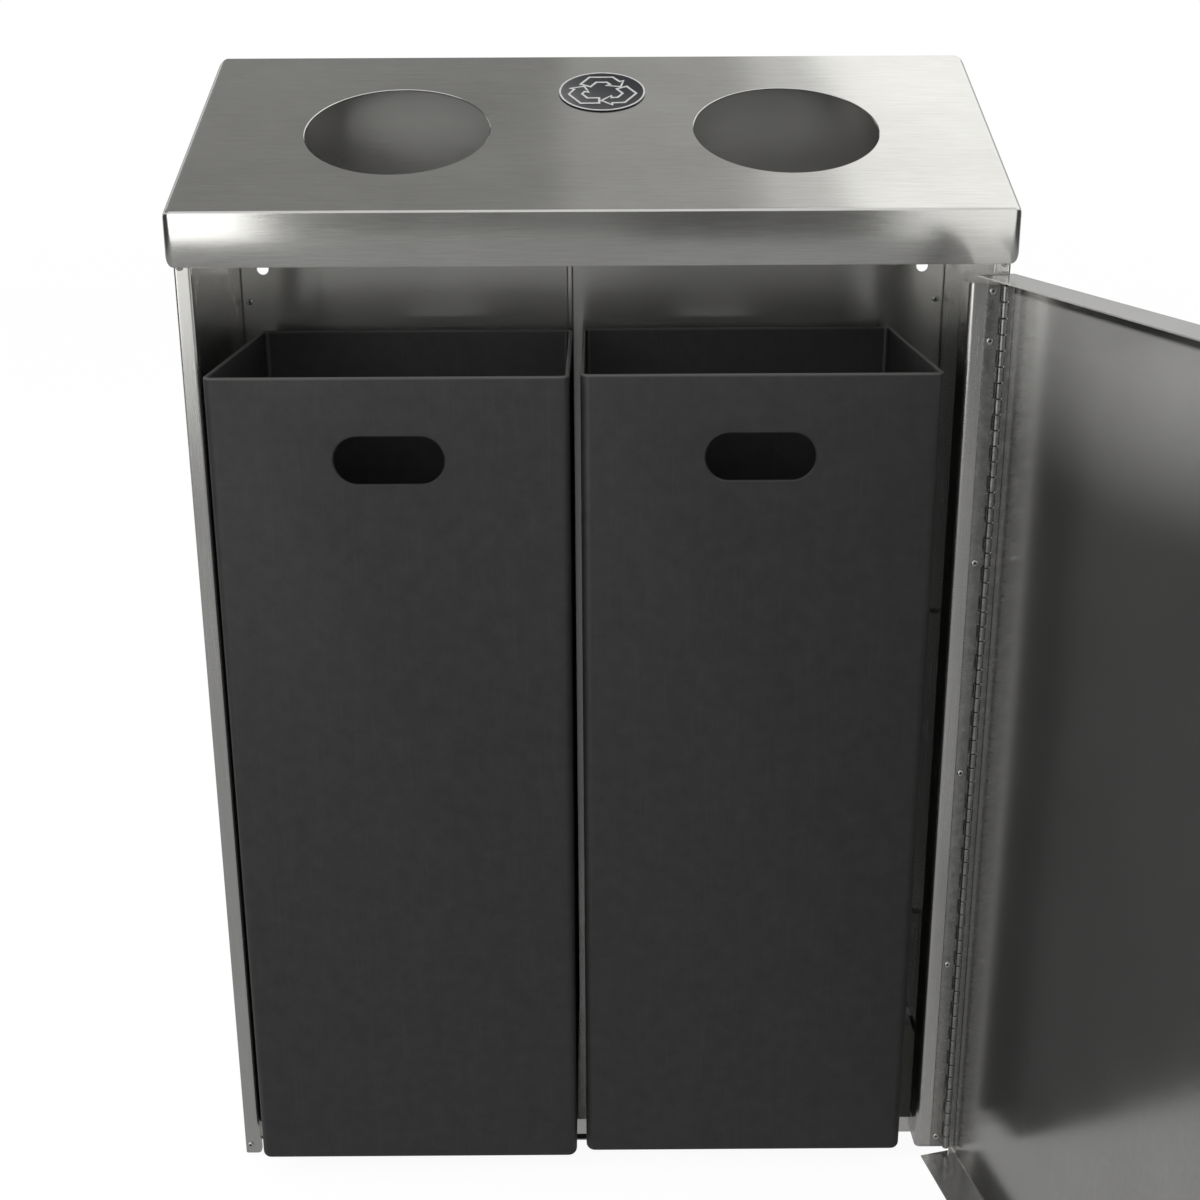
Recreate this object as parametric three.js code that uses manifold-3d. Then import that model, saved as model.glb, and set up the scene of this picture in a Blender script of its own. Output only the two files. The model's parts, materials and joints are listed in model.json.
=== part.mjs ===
// Double recycling bin: a folded stainless steel cabinet with a sloped lid, two plastic liners
// and a full-height door on a piano hinge.
//
// Millimetres, +X right, +Y to the back, +Z up. The origin is on the floor, under the centre of
// the cabinet's footprint. The door stands open, as it does in use when the liners are changed.

import * as THREE from 'three';
import { mergeVertices } from 'three/addons/utils/BufferGeometryUtils.js';
import Module from 'manifold-3d';

const wasm = await Module();
wasm.setup();

// ---------------------------------------------------------------- driving dimensions

// General
const GAP = 0.3; // between pieces that rest on each other
const ARC_STEPS = 4; // straight steps in a bend
const SHEET = 1.2; // cabinet sheet
const BEND = 1.5; // inside radius of a fold

// Cabinet body
const BODY_W = 650;
const BODY_D = 242;
const POST_BOTTOM = 5; // height of the folded posts above the floor
const FLANGE_W = 14; // front and rear flanges of the side panels
const RETURN_D = 8; // return behind the left front flange
const SIDE_FOOT_FLANGE_W = 28; // inward flange at a side panel's bottom
const SIDE_FOOT_FLANGE_INSET = 20; // from the front and the back of the body

// Lid
const LID_SIDE_OVERHANG = 5;
const LID_FRONT_OVERHANG = 7;
const LID_BACK_OVERHANG = 3;
const RIDGE_Z = 855; // top of the front skirt
const POST_TOP = RIDGE_Z - 58; // the hinge jamb stops here, and the door's top flange passes over it
const TAB_BOTTOM = POST_TOP + 9; // upper front tabs, which carry the top rail
const TAB_TOP = RIDGE_Z - 10;
const SLOPE = THREE.MathUtils.degToRad(24.2);
const SKIRT_H = 43;
const LID_SIDE_RADIUS = 8; // outside radius of the folds along the lid's sides
const LID_RIDGE_RADIUS = 2.2;
const SKIRT_CORNER_RADIUS = 7; // lower corners of the skirt, seen from the front
const LID_SEAT_DROP = 0.7; // the panels stop this much lower, under the rounded side folds

// Throws and badge, placed along the slope from the front ridge
const THROW_D = 152.4;
const THROW_X = 160;
const THROW_UP_SLOPE = 134;
const THROW_STEPS = 48;
const BADGE_D = 74;
const BADGE_X = 9;
const BADGE_UP_SLOPE = 203;
const BADGE_T = 1.5;

// Hinge jamb and top rail
const JAMB_W = 29.9;
const JAMB_D = 30;
const JAMB_BOTTOM = 7;
const JAMB_BEND = 3.5; // inside radius of its two folds
const RAIL_BOTTOM = TAB_BOTTOM + 1;
const RAIL_TOP = TAB_TOP + 5;
const RAIL_EDGE = RIDGE_Z - SKIRT_H - 0.5; // its lower edge between the tabs, hidden by the skirt
const RAIL_RETURN = 18;

// Piano hinge
const KNUCKLE_PITCH = 12.7;
const KNUCKLE_COUNT = Math.floor((POST_TOP - JAMB_BOTTOM) / KNUCKLE_PITCH);
const KNUCKLE_R = 3;
const KNUCKLE_SIDES = 8;
const PIN_R = 1.5;
const LEAF_T = 1;
const LEAF_W = 13.5;
const DOOR_LEAF_T = 0.8;
const LEAF_STEP = 0.1; // the necks between leaf and knuckles are thinner than the leaf by this, each side
const HINGE_FROM_SIDE = 4; // hinge axis, inside the cabinet's right face
const HINGE_RIVETS_Z = [
  ...[12, 191, 376, 563].map((up) => JAMB_BOTTOM + up),
  ...[45, 6].map((down) => POST_TOP - down),
];
const HINGE_RIVET_FROM_AXIS = 9.1;

// Door
const DOOR_SHEET = 1;
const DOOR_OPEN = THREE.MathUtils.degToRad(100);
const DOOR_FACE = 9; // from the hinge axis to the outside of the closed door
const DOOR_TOP = TAB_BOTTOM - 1.6;
const DOOR_BOTTOM = 2.8;
const DOOR_FLANGE_D = 33; // top and bottom flanges
const DOOR_NOTCH = FLANGE_W + 1.5; // flanges stop this far from the latch edge, clear of the left post
const DOOR_HINGE_MITRE = 3; // flange ends at the hinge side
const DOOR_HINGE_FLANGE_D = DOOR_FACE - KNUCKLE_R - 2 * GAP; // ends clear of the knuckles
const DOOR_LATCH_FLANGE_D = 11.3;

// Cam lock, in the closed door's own frame
const LOCK_FROM_EDGE = 41;
const LOCK_Z = DOOR_TOP - 46.4;
const LOCK_BARREL_R = 9;
const LOCK_HEAD_R = 11;
const LOCK_HEAD_T = 1.7;
const LOCK_BARREL_END = 9; // behind the hinge axis
const LOCK_NUT_R = 13;
const LOCK_NUT_T = 3.5;
const LOCK_PLUG_R = 5.8;
const LOCK_CAM_T = 2;
const LOCK_CAM_W = 14;
const LOCK_CAM_REACH = 34;
const LOCK_CAM_TAIL = 8;
const LOCK_CAM_FROM_AXIS = 11.8; // the cam's front face, just behind the left return
const LOCK_SCREW_R = 1.6;
const LOCK_SCREW_HEAD_R = 5;
const LOCK_SCREW_HEAD_T = 2.2;
const LOCK_SCREW_DEPTH = 5;
const KEYHOLE_W = 1.4;
const KEYHOLE_H = 7;
const KEYHOLE_DEPTH = 4;

// Back panel
const WALL_HOLE_R = 5.4;
const WALL_HOLE_FROM_SIDE = 22;
const WALL_HOLE_Z = POST_TOP - 13;
const BACK_RIVETS_Z = [120, 450, POST_TOP - 43];
const BACK_RIVET_FROM_SIDE = 8;
const BEAD_X = -21;
const BEAD_W = 6;
const BEAD_H = 2.2;
const BEAD_TOP = RIDGE_Z + 45;

// Floor pan, runner and feet
const PAN_TOP = 24;
const PAN_SETBACK = 21; // of its front edge, from the body's front
const PAN_EDGE_BOTTOM = 8;
const PAN_EAR_W = 8;
const PAN_EAR_RIVET_Z = 13.7;
const RUNNER_W = 42.4;
const RUNNER_FLANGE_W = 15;
const RUNNER_BACK_INSET = 8; // from the back panel
const FOOT_R = 12;
const FOOT_FROM_SIDE = 14;
const FOOT_FROM_FRONT = 40; // and from the back

// Fasteners
const RIVET_R = 1.6;
const RIVET_HEAD_R = 3;
const RIVET_HEAD_H = 1.2;
const RIVET_TAIL_R = 2.4;
const RIVET_TAIL_H = 2;
const POST_RIVET_FROM_EDGE = 5; // rivets on the left flange and the upper tabs
const RAIL_RIVET_Z = RAIL_BOTTOM + 5.5;
const LID_SCREW_R = 2;
const LID_SCREW_HEAD_R = 6;
const LID_SCREW_HEAD_H = 2.4;
const LID_SCREW_SHOULDER_R = 3.6;
const LID_SCREW_FROM_CORNER = 51; // along the side
const LID_SCREW_ABOVE_HEM = 14;
const FASTENER_STEPS = 10;

// Liners
const LINER_W = 283;
const LINER_D = 243;
const LINER_H = 708;
const LINER_WALL = 3;
const LINER_CORNER_R = 8;
const LINER_PROUD = 7.2; // front wall, in front of the body's front with the door closed
const LEFT_LINER_CLEAR = 23.5; // left liner, from the body's left side
const RIGHT_LINER_CLEAR = 52; // right liner, from the body's right side
const LEFT_LINER_DRAWN = 28.8; // how far the open door lets each one stand forward
const RIGHT_LINER_DRAWN = 21.8;
const HAND_HOLE_W = 87;
const HAND_HOLE_H = 38;
const HAND_HOLE_BELOW_RIM = 66;

// ---------------------------------------------------------------- places worked out from them

const BODY_X = BODY_W / 2;
const BODY_FRONT = -BODY_D / 2;
const BODY_BACK = BODY_D / 2;
const INSIDE_X = BODY_X - SHEET;
const FOLD_CLEAR_X = INSIDE_X - BEND; // sheets that lie in the side panels' folded corners end here
const LID_X = BODY_X + LID_SIDE_OVERHANG;
const LID_FRONT = BODY_FRONT - LID_FRONT_OVERHANG;
const LID_BACK = BODY_BACK + LID_BACK_OVERHANG;
const BACK_PANEL_OUT = BODY_BACK - SHEET - GAP;
const BACK_PANEL_IN = BACK_PANEL_OUT - SHEET;
const RAIL_FRONT = BODY_FRONT + SHEET + GAP;
const PAN_FRONT = BODY_FRONT + PAN_SETBACK;
const LID_SCREW_Y = [BODY_FRONT + LID_SCREW_FROM_CORNER, BODY_BACK - LID_SCREW_FROM_CORNER];
const WALL_HOLE_X = BODY_X - WALL_HOLE_FROM_SIDE;
const BACK_RIVET_X = BODY_X - BACK_RIVET_FROM_SIDE;
const FOOT_X = BODY_X - FOOT_FROM_SIDE;
const FOOT_Y = BODY_BACK - FOOT_FROM_FRONT;
const LINER_HOME_FRONT = BODY_FRONT - LINER_PROUD;
const LEFT_LINER_X = -BODY_X + LEFT_LINER_CLEAR; // left face of the left liner
const RIGHT_LINER_X = BODY_X - RIGHT_LINER_CLEAR - LINER_W; // left face of the right liner
const HINGE_X = BODY_X - HINGE_FROM_SIDE;
const HINGE_Y = BODY_FRONT - GAP - KNUCKLE_R;
const HINGE_LENGTH = KNUCKLE_PITCH * KNUCKLE_COUNT;
const HINGE_BOTTOM = (JAMB_BOTTOM + POST_TOP - HINGE_LENGTH) / 2;
const DOOR_LATCH_EDGE = -BODY_X - HINGE_X; // latch edge, measured from the hinge axis
const DOOR_HINGE_EDGE = DOOR_LEAF_T / 2 + GAP + DOOR_SHEET;
const LOCK_X = DOOR_LATCH_EDGE + LOCK_FROM_EDGE;

const COLOURS = {
  steel: 0xb9b8b4,
  satin: 0xa3a29e,
  dark: 0x1b1b1c,
  rubber: 0x171717,
  liner: 0x323234,
};

/** Height of the lid's outer face above the floor at a depth y. */
function lidTopAt(y) {
  return RIDGE_Z + (y - LID_FRONT) * Math.tan(SLOPE);
}

/** Height at depth y of a plane that lies a distance below the lid's outer face. */
function underLid(y, distance) {
  return lidTopAt(y) - distance / Math.cos(SLOPE);
}

/** Point on the lid's outer face, at x and a distance up the slope from the ridge. */
function onLid(x, upSlope) {
  return new THREE.Vector3(
    x,
    LID_FRONT + upSlope * Math.cos(SLOPE),
    RIDGE_Z + upSlope * Math.sin(SLOPE),
  );
}

// ---------------------------------------------------------------- shape helpers

/** Turns a closed three.js geometry into a solid that can be joined and cut. */
function solidOf(geometry) {
  const bare = geometry.clone();
  bare.deleteAttribute('normal');
  bare.deleteAttribute('uv');
  const merged = mergeVertices(bare, 1e-5);
  return new wasm.Manifold(new wasm.Mesh({
    numProp: 3,
    vertProperties: new Float32Array(merged.attributes.position.array),
    triVerts: new Uint32Array(merged.index.array),
  }));
}

/** Turns a solid back into a geometry with flat shading. */
function geometryOf(solid) {
  const { vertProperties, triVerts } = solid.getMesh();
  const geometry = new THREE.BufferGeometry();
  geometry.setAttribute('position', new THREE.BufferAttribute(vertProperties, 3));
  geometry.setIndex(new THREE.BufferAttribute(triVerts, 1));
  geometry.computeVertexNormals();
  return geometry;
}

/** Joins solids into one. */
function join(...solids) {
  return solids.reduce((whole, piece) => whole.add(piece));
}

/** Cuts a list of solids out of one. */
function cut(solid, ...tools) {
  return tools.reduce((left, tool) => left.subtract(tool), solid);
}

/** Box between two corners. */
function box([x0, x1], [y0, y1], [z0, z1]) {
  const geometry = new THREE.BoxGeometry(x1 - x0, y1 - y0, z1 - z0);
  geometry.translate((x0 + x1) / 2, (y0 + y1) / 2, (z0 + z1) / 2);
  return solidOf(geometry);
}

/** Closed outline from corners [a, b, radius]; a radius rounds its corner with an arc. */
function outline(corners, steps = ARC_STEPS) {
  const points = [];
  corners.forEach(([a, b, radius = 0], i) => {
    const corner = new THREE.Vector2(a, b);
    if (radius <= 0) {
      points.push(corner);
      return;
    }
    const before = new THREE.Vector2(...corners.at(i - 1)).sub(corner).normalize();
    const after = new THREE.Vector2(...corners[(i + 1) % corners.length]).sub(corner).normalize();
    const halfAngle = Math.acos(THREE.MathUtils.clamp(before.dot(after), -1, 1)) / 2;
    const toTangent = radius / Math.tan(halfAngle);
    const centre = before.clone().add(after).normalize()
      .multiplyScalar(radius / Math.sin(halfAngle)).add(corner);
    const start = before.clone().multiplyScalar(toTangent).add(corner).sub(centre);
    const end = after.clone().multiplyScalar(toTangent).add(corner).sub(centre);
    const sweep = Math.atan2(start.cross(end), start.dot(end));
    for (let step = 0; step <= steps; step += 1) {
      points.push(start.clone().rotateAround(new THREE.Vector2(), (sweep * step) / steps).add(centre));
    }
  });
  return new THREE.Shape(points);
}

/** Outline of a folded sheet whose outer face follows a path, with the sheet on the path's left. */
function foldedSheet(path, thickness = SHEET, bend = BEND) {
  const points = path.map(([a, b]) => new THREE.Vector2(a, b));
  const headings = points.slice(1).map((point, i) => point.clone().sub(points[i]).normalize());
  const leftOf = (heading) => new THREE.Vector2(-heading.y, heading.x);
  const outer = [];
  const inner = [];
  points.forEach((point, i) => {
    const first = headings[Math.max(i - 1, 0)];
    const second = headings[Math.min(i, headings.length - 1)];
    const toInside = leftOf(first).add(leftOf(second))
      .multiplyScalar(thickness / (1 + first.dot(second)));
    const turn = first.cross(second);
    const outerRadius = turn > 0 ? bend + thickness : bend;
    const innerRadius = turn > 0 ? bend : bend + thickness;
    outer.push([point.x, point.y, turn === 0 ? 0 : outerRadius]);
    inner.push([point.x + toInside.x, point.y + toInside.y, turn === 0 ? 0 : innerRadius]);
  });
  return outline([...outer, ...inner.reverse()]);
}

// How an outline's two directions and its extrusion lie along the axes: an outline is drawn as
// (y, z) for a prism along x, (x, z) along y and (x, y) along z.
const X_AXIS = new THREE.Vector3(1, 0, 0);
const Y_AXIS = new THREE.Vector3(0, 1, 0);
const Z_AXIS = new THREE.Vector3(0, 0, 1);
const PRISM_FRAMES = {
  x: [Y_AXIS, Z_AXIS, X_AXIS],
  y: [X_AXIS, Z_AXIS, Y_AXIS.clone().negate()],
  z: [X_AXIS, Y_AXIS, Z_AXIS],
};

/** Geometry of an outline carried along an axis, between two places on it. */
function prismGeometry(axis, shape, [from, to]) {
  const [u, v, w] = PRISM_FRAMES[axis];
  const geometry = new THREE.ExtrudeGeometry(shape, { depth: to - from, bevelEnabled: false });
  geometry.applyMatrix4(new THREE.Matrix4().makeBasis(u, v, w));
  const start = axis === 'y' ? -to : from;
  geometry.translate(w.x * start, w.y * start, w.z * start);
  return geometry;
}

/** Solid of an outline carried along an axis. */
function prism(axis, shape, span) {
  return solidOf(prismGeometry(axis, shape, span));
}

/** Solid cylinder along an axis, through a point. */
function rod(direction, centre, radius, length, steps = 24) {
  const geometry = new THREE.CylinderGeometry(radius, radius, length, steps);
  geometry.applyQuaternion(new THREE.Quaternion().setFromUnitVectors(Y_AXIS, direction));
  geometry.translate(centre.x, centre.y, centre.z);
  return solidOf(geometry);
}

/** Named mesh with its own material. */
function piece(name, geometry, colour, roughness, metalness) {
  const material = new THREE.MeshStandardMaterial({ color: colour, roughness, metalness });
  const mesh = new THREE.Mesh(geometry, material);
  mesh.name = name;
  return mesh;
}

const brushed = (name, solid) => piece(name, geometryOf(solid), COLOURS.steel, 0.35, 1);
const plated = (name, geometry) => piece(name, geometry, COLOURS.satin, 0.4, 1);

/** Turned piece: a profile of [radius, along] points, pointing along a direction from a place. */
function turned(profile, steps = FASTENER_STEPS) {
  return new THREE.LatheGeometry(profile.map(([r, along]) => new THREE.Vector2(r, along)), steps);
}

/** Points a mesh that was turned about +Y along a direction, and sets it at a place. */
function aim(mesh, place, direction) {
  mesh.position.copy(place);
  mesh.quaternion.setFromUnitVectors(Y_AXIS, direction);
  return mesh;
}

/** Blind rivet through a stack of sheets, from the outer face inwards along a direction. */
function rivet(name, place, direction, grip) {
  const tail = grip + GAP;
  const profile = [
    [0, -GAP - RIVET_HEAD_H],
    [RIVET_HEAD_R * 0.6, -GAP - RIVET_HEAD_H * 0.85],
    [RIVET_HEAD_R, -GAP - RIVET_HEAD_H * 0.3],
    [RIVET_HEAD_R, -GAP],
    [RIVET_R, -GAP],
    [RIVET_R, tail],
    [RIVET_TAIL_R, tail],
    [RIVET_TAIL_R, tail + RIVET_TAIL_H],
    [0, tail + RIVET_TAIL_H],
  ];
  return aim(plated(name, turned(profile)), place, direction);
}

/** Hole for a rivet's shank, square to a sheet. */
function rivetHole(direction, place) {
  return rod(direction, place, RIVET_R + GAP, 12, FASTENER_STEPS);
}

// ---------------------------------------------------------------- lid

/** Sloped block as wide and deep as the lid, moved inwards by a distance on every face but the lowest. */
function lidBlock(inset, bottom) {
  const x = LID_X - inset;
  const top = RIDGE_Z - inset / Math.cos(SLOPE);
  const radius = LID_SIDE_RADIUS - inset;
  const across = outline([
    [-x, bottom, SKIRT_CORNER_RADIUS],
    [x, bottom, SKIRT_CORNER_RADIUS],
    [x, top, radius],
    [-x, top, radius],
  ]);
  const front = LID_FRONT + inset;
  const back = LID_BACK - inset;
  const crown = prismGeometry('y', across, [front, back]);
  crown.translate(0, -LID_FRONT, 0);
  crown.applyMatrix4(new THREE.Matrix4().makeShear(0, 0, 0, Math.tan(SLOPE), 0, 0));
  crown.translate(0, LID_FRONT, 0);
  const fold = LID_RIDGE_RADIUS - inset;
  const along = outline([
    [front, bottom - 1],
    [back, bottom - 1],
    [back, underLid(back, inset), fold],
    [front, underLid(front, inset), fold],
  ]);
  return solidOf(crown).intersect(prism('x', along, [-LID_X, LID_X]));
}

function makeLid() {
  const low = RIDGE_Z - SKIRT_H;
  const shell = lidBlock(0, low).subtract(lidBlock(SHEET, low - SKIRT_CORNER_RADIUS));
  const normal = new THREE.Vector3(0, -Math.sin(SLOPE), Math.cos(SLOPE));
  const throws = [-THROW_X, THROW_X].map((x) => (
    rod(normal, onLid(x, THROW_UP_SLOPE), THROW_D / 2, 20, THROW_STEPS)));
  const screwHoles = [-1, 1].flatMap((side) => LID_SCREW_Y.map((y) => (
    rod(X_AXIS, new THREE.Vector3(side * LID_X, y, lidScrewZ(y)), LID_SCREW_SHOULDER_R + GAP, 8, 12))));
  return brushed('lid', cut(shell, ...throws, ...screwHoles));
}

/** Height of a lid screw at a depth y, above the sloped lower edge of the side skirt. */
function lidScrewZ(y) {
  return lidTopAt(y) - SKIRT_H + LID_SCREW_ABOVE_HEM;
}

function makeLidScrew(name, side, y) {
  const skirt = LID_X - BODY_X;
  const profile = [
    [0, -GAP - LID_SCREW_HEAD_H],
    [LID_SCREW_HEAD_R * 0.6, -GAP - LID_SCREW_HEAD_H * 0.8],
    [LID_SCREW_HEAD_R, -GAP],
    [LID_SCREW_SHOULDER_R, -GAP],
    [LID_SCREW_SHOULDER_R, skirt - GAP],
    [LID_SCREW_R, skirt - GAP],
    [LID_SCREW_R, skirt + 5],
    [0, skirt + 6],
  ];
  const place = new THREE.Vector3(side * LID_X, y, lidScrewZ(y));
  return aim(plated(name, turned(profile)), place, new THREE.Vector3(-side, 0, 0));
}

function makeBadge() {
  const profile = [
    [0, GAP],
    [BADGE_D / 2, GAP],
    [BADGE_D / 2, GAP + BADGE_T * 0.6],
    [BADGE_D / 2 - BADGE_T, GAP + BADGE_T],
    [0, GAP + BADGE_T],
  ];
  const badge = piece('recycling_badge', turned(profile, THROW_STEPS), COLOURS.dark, 0.3, 0);
  const normal = new THREE.Vector3(0, -Math.sin(SLOPE), Math.cos(SLOPE));
  return aim(badge, onLid(BADGE_X, BADGE_UP_SLOPE), normal);
}

// ---------------------------------------------------------------- cabinet panels

/** What trims the cabinet's panels to the slope, just under the lid. */
function slopeCut() {
  const reach = BODY_D;
  const drop = SHEET + GAP + LID_SEAT_DROP;
  return prism('x', outline([
    [-reach, underLid(-reach, drop)],
    [reach, underLid(reach, drop)],
    [reach, RIDGE_Z + BODY_D * 2],
    [-reach, RIDGE_Z + BODY_D * 2],
  ]), [-BODY_W, BODY_W]);
}

/** Span of x from the inside of a side panel, inwards by a width. */
function insideSpan(side, width) {
  return side < 0 ? [-INSIDE_X, -INSIDE_X + width] : [INSIDE_X - width, INSIDE_X];
}

/** Side panel with its rear flange, its upper front tab and, on the left, the flanged front post. */
function makeSidePanel(name, side) {
  const inner = BODY_X - FLANGE_W;
  const leftPath = [
    [-inner, BODY_BACK],
    [-BODY_X, BODY_BACK],
    [-BODY_X, BODY_FRONT],
    [-inner, BODY_FRONT],
    [-inner, BODY_FRONT + RETURN_D],
  ];
  const path = side < 0 ? leftPath : leftPath.map(([x, y]) => [-x, y]).reverse();
  const folded = prism('z', foldedSheet(path), [POST_BOTTOM, RIDGE_Z + BODY_D]);
  const wide = FLANGE_W * 2;
  const frontStrip = [BODY_FRONT - 1, BODY_FRONT + RETURN_D + 1];
  const returnStrip = [BODY_FRONT + SHEET, BODY_FRONT + RETURN_D + 1];
  const openFront = side > 0 ? [box(insideSpan(side, wide), frontStrip, [POST_BOTTOM - 1, TAB_BOTTOM])] : [];
  const footFlange = box(
    side < 0 ? [-BODY_X + SHEET / 2, -BODY_X + SIDE_FOOT_FLANGE_W] : [BODY_X - SIDE_FOOT_FLANGE_W, BODY_X - SHEET / 2],
    [BODY_FRONT + SIDE_FOOT_FLANGE_INSET, BODY_BACK - SIDE_FOOT_FLANGE_INSET],
    [POST_BOTTOM, POST_BOTTOM + SHEET],
  );
  const lidHoles = LID_SCREW_Y.map((y) => (
    rod(X_AXIS, new THREE.Vector3(side * BODY_X, y, lidScrewZ(y)), LID_SCREW_R + GAP, 8, 12)));
  const backHoles = BACK_RIVETS_Z.map((z) => (
    rivetHole(Y_AXIS, new THREE.Vector3(side * BACK_RIVET_X, BODY_BACK, z))));
  const frontHoleX = side * (BODY_X - POST_RIVET_FROM_EDGE);
  const solid = cut(
    folded,
    slopeCut(),
    ...openFront,
    box(insideSpan(side, wide), returnStrip, [TAB_BOTTOM - 1, TAB_TOP + 1]),
    box(insideSpan(side, wide), frontStrip, [TAB_TOP, RIDGE_Z + BODY_D]),
    ...lidHoles,
    ...backHoles,
    rivetHole(Y_AXIS, new THREE.Vector3(frontHoleX, BODY_FRONT, RAIL_RIVET_Z)),
    rivetHole(Y_AXIS, new THREE.Vector3(-BODY_X + POST_RIVET_FROM_EDGE, BODY_FRONT, PAN_EAR_RIVET_Z)),
  );
  return brushed(name, solid.add(footFlange));
}

function makeBackPanel() {
  const x = FOLD_CLEAR_X;
  const sheet = box([-x, x], [BACK_PANEL_IN, BACK_PANEL_OUT], [POST_BOTTOM, RIDGE_Z + BODY_D]);
  const holes = [-1, 1].flatMap((side) => [
    rod(Y_AXIS, new THREE.Vector3(side * WALL_HOLE_X, BACK_PANEL_IN, WALL_HOLE_Z), WALL_HOLE_R, 10, 16),
    ...BACK_RIVETS_Z.map((z) => rivetHole(Y_AXIS, new THREE.Vector3(side * BACK_RIVET_X, BACK_PANEL_IN, z))),
  ]);
  return brushed('back_panel', cut(sheet, slopeCut(), ...holes));
}

/** Vertical bead on the back panel that keeps the two liners apart. */
function makeLinerBead() {
  const back = BACK_PANEL_IN - GAP;
  const shape = outline([
    [BEAD_X - BEAD_W / 2, back],
    [BEAD_X - BEAD_W / 4, back - BEAD_H],
    [BEAD_X + BEAD_W / 4, back - BEAD_H],
    [BEAD_X + BEAD_W / 2, back],
  ]);
  return plated('liner_bead', prismGeometry('z', shape, [PAN_TOP + GAP, BEAD_TOP]));
}

function makeTopRail() {
  const profile = foldedSheet([
    [RAIL_FRONT + RAIL_RETURN, RAIL_TOP],
    [RAIL_FRONT, RAIL_TOP],
    [RAIL_FRONT, RAIL_BOTTOM],
  ]);
  const x = FOLD_CLEAR_X;
  const holes = [-1, 1].map((side) => (
    rivetHole(Y_AXIS, new THREE.Vector3(side * (BODY_X - POST_RIVET_FROM_EDGE), RAIL_FRONT, RAIL_RIVET_Z))));
  const inner = BODY_X - FLANGE_W;
  const edge = box([-inner, inner], [RAIL_FRONT - 1, RAIL_FRONT + BEND], [RAIL_BOTTOM - 1, RAIL_EDGE]);
  return brushed('top_rail', cut(prism('x', profile, [-x, x]), edge, ...holes));
}

function makeHingeJamb() {
  const outerX = INSIDE_X - GAP;
  const innerX = outerX - JAMB_W;
  const shape = foldedSheet([
    [innerX, BODY_FRONT + JAMB_D],
    [innerX, BODY_FRONT],
    [outerX, BODY_FRONT],
    [outerX, BODY_FRONT + JAMB_D],
  ], SHEET, JAMB_BEND);
  const holes = HINGE_RIVETS_Z.map((z) => (
    rivetHole(Y_AXIS, new THREE.Vector3(HINGE_X - HINGE_RIVET_FROM_AXIS, BODY_FRONT, z))));
  return brushed('hinge_jamb', cut(prism('z', shape, [JAMB_BOTTOM, POST_TOP]), ...holes));
}

// ---------------------------------------------------------------- floor

function makeFloorPan() {
  const x = FOLD_CLEAR_X;
  const back = BACK_PANEL_IN - GAP;
  const front = BODY_FRONT + SHEET + GAP;
  const under = PAN_TOP - SHEET;
  const edgeBottom = POST_BOTTOM + SHEET + GAP;
  const jambX = INSIDE_X - JAMB_W - 2 * GAP;
  const jambY = BODY_FRONT + JAMB_D + GAP;
  const pan = join(
    box([-x, x], [PAN_FRONT, back], [under, PAN_TOP]),
    box([-x, x], [PAN_FRONT, PAN_FRONT + SHEET], [PAN_EDGE_BOTTOM, PAN_TOP]),
    box([-x, x], [back - SHEET, back], [PAN_EDGE_BOTTOM, PAN_TOP]),
    box([-x, -x + SHEET], [PAN_FRONT, back], [edgeBottom, PAN_TOP]),
    box([x - SHEET, x], [jambY, back], [edgeBottom, PAN_TOP]),
    box([-x, -x + PAN_EAR_W], [front, PAN_FRONT + SHEET], [under, PAN_TOP]),
    box([-x, -x + PAN_EAR_W], [front, front + SHEET], [PAN_EDGE_BOTTOM, PAN_TOP]),
  );
  return brushed('floor_pan', cut(
    pan,
    box([jambX, BODY_X], [BODY_FRONT, jambY], [0, PAN_TOP + 1]),
    rivetHole(Y_AXIS, new THREE.Vector3(-BODY_X + POST_RIVET_FROM_EDGE, front, PAN_EAR_RIVET_Z)),
  ));
}

/** Hat channel under the pan, whose flat underside stands on the floor. */
function makeFloorRunner() {
  const half = RUNNER_W / 2;
  const top = PAN_TOP - SHEET - GAP;
  const shape = foldedSheet([
    [-half - RUNNER_FLANGE_W, top - SHEET],
    [-half, top - SHEET],
    [-half, 0],
    [half, 0],
    [half, top - SHEET],
    [half + RUNNER_FLANGE_W, top - SHEET],
  ]);
  const span = [PAN_FRONT + SHEET + GAP, BACK_PANEL_IN - RUNNER_BACK_INSET];
  return plated('floor_runner', prismGeometry('y', shape, span));
}

function makeFoot(name, sideX, sideY) {
  const height = POST_BOTTOM - GAP;
  const profile = [[0, 0], [FOOT_R - 1, 0], [FOOT_R, 1], [FOOT_R, height], [0, height]];
  const foot = piece(name, turned(profile, 20), COLOURS.rubber, 0.8, 0);
  return aim(foot, new THREE.Vector3(sideX * FOOT_X, sideY * FOOT_Y, 0), Z_AXIS);
}

// ---------------------------------------------------------------- piano hinge, in the hinge's frame

/** The hinge's knuckles that belong to one leaf: every second one, from the first or the second. */
function knuckles(first, bridge) {
  const solids = [];
  for (let i = first; i < KNUCKLE_COUNT; i += 2) {
    const low = HINGE_BOTTOM + i * KNUCKLE_PITCH + GAP / 2;
    const high = low + KNUCKLE_PITCH - GAP;
    const centre = new THREE.Vector3(0, 0, (low + high) / 2);
    const barrel = join(
      rod(Z_AXIS, centre, KNUCKLE_R, high - low, KNUCKLE_SIDES),
      box(...bridge, [low, high]),
    );
    solids.push(barrel.subtract(rod(Z_AXIS, centre, PIN_R + GAP, KNUCKLE_PITCH * 2, KNUCKLE_SIDES)));
  }
  return solids;
}

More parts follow.
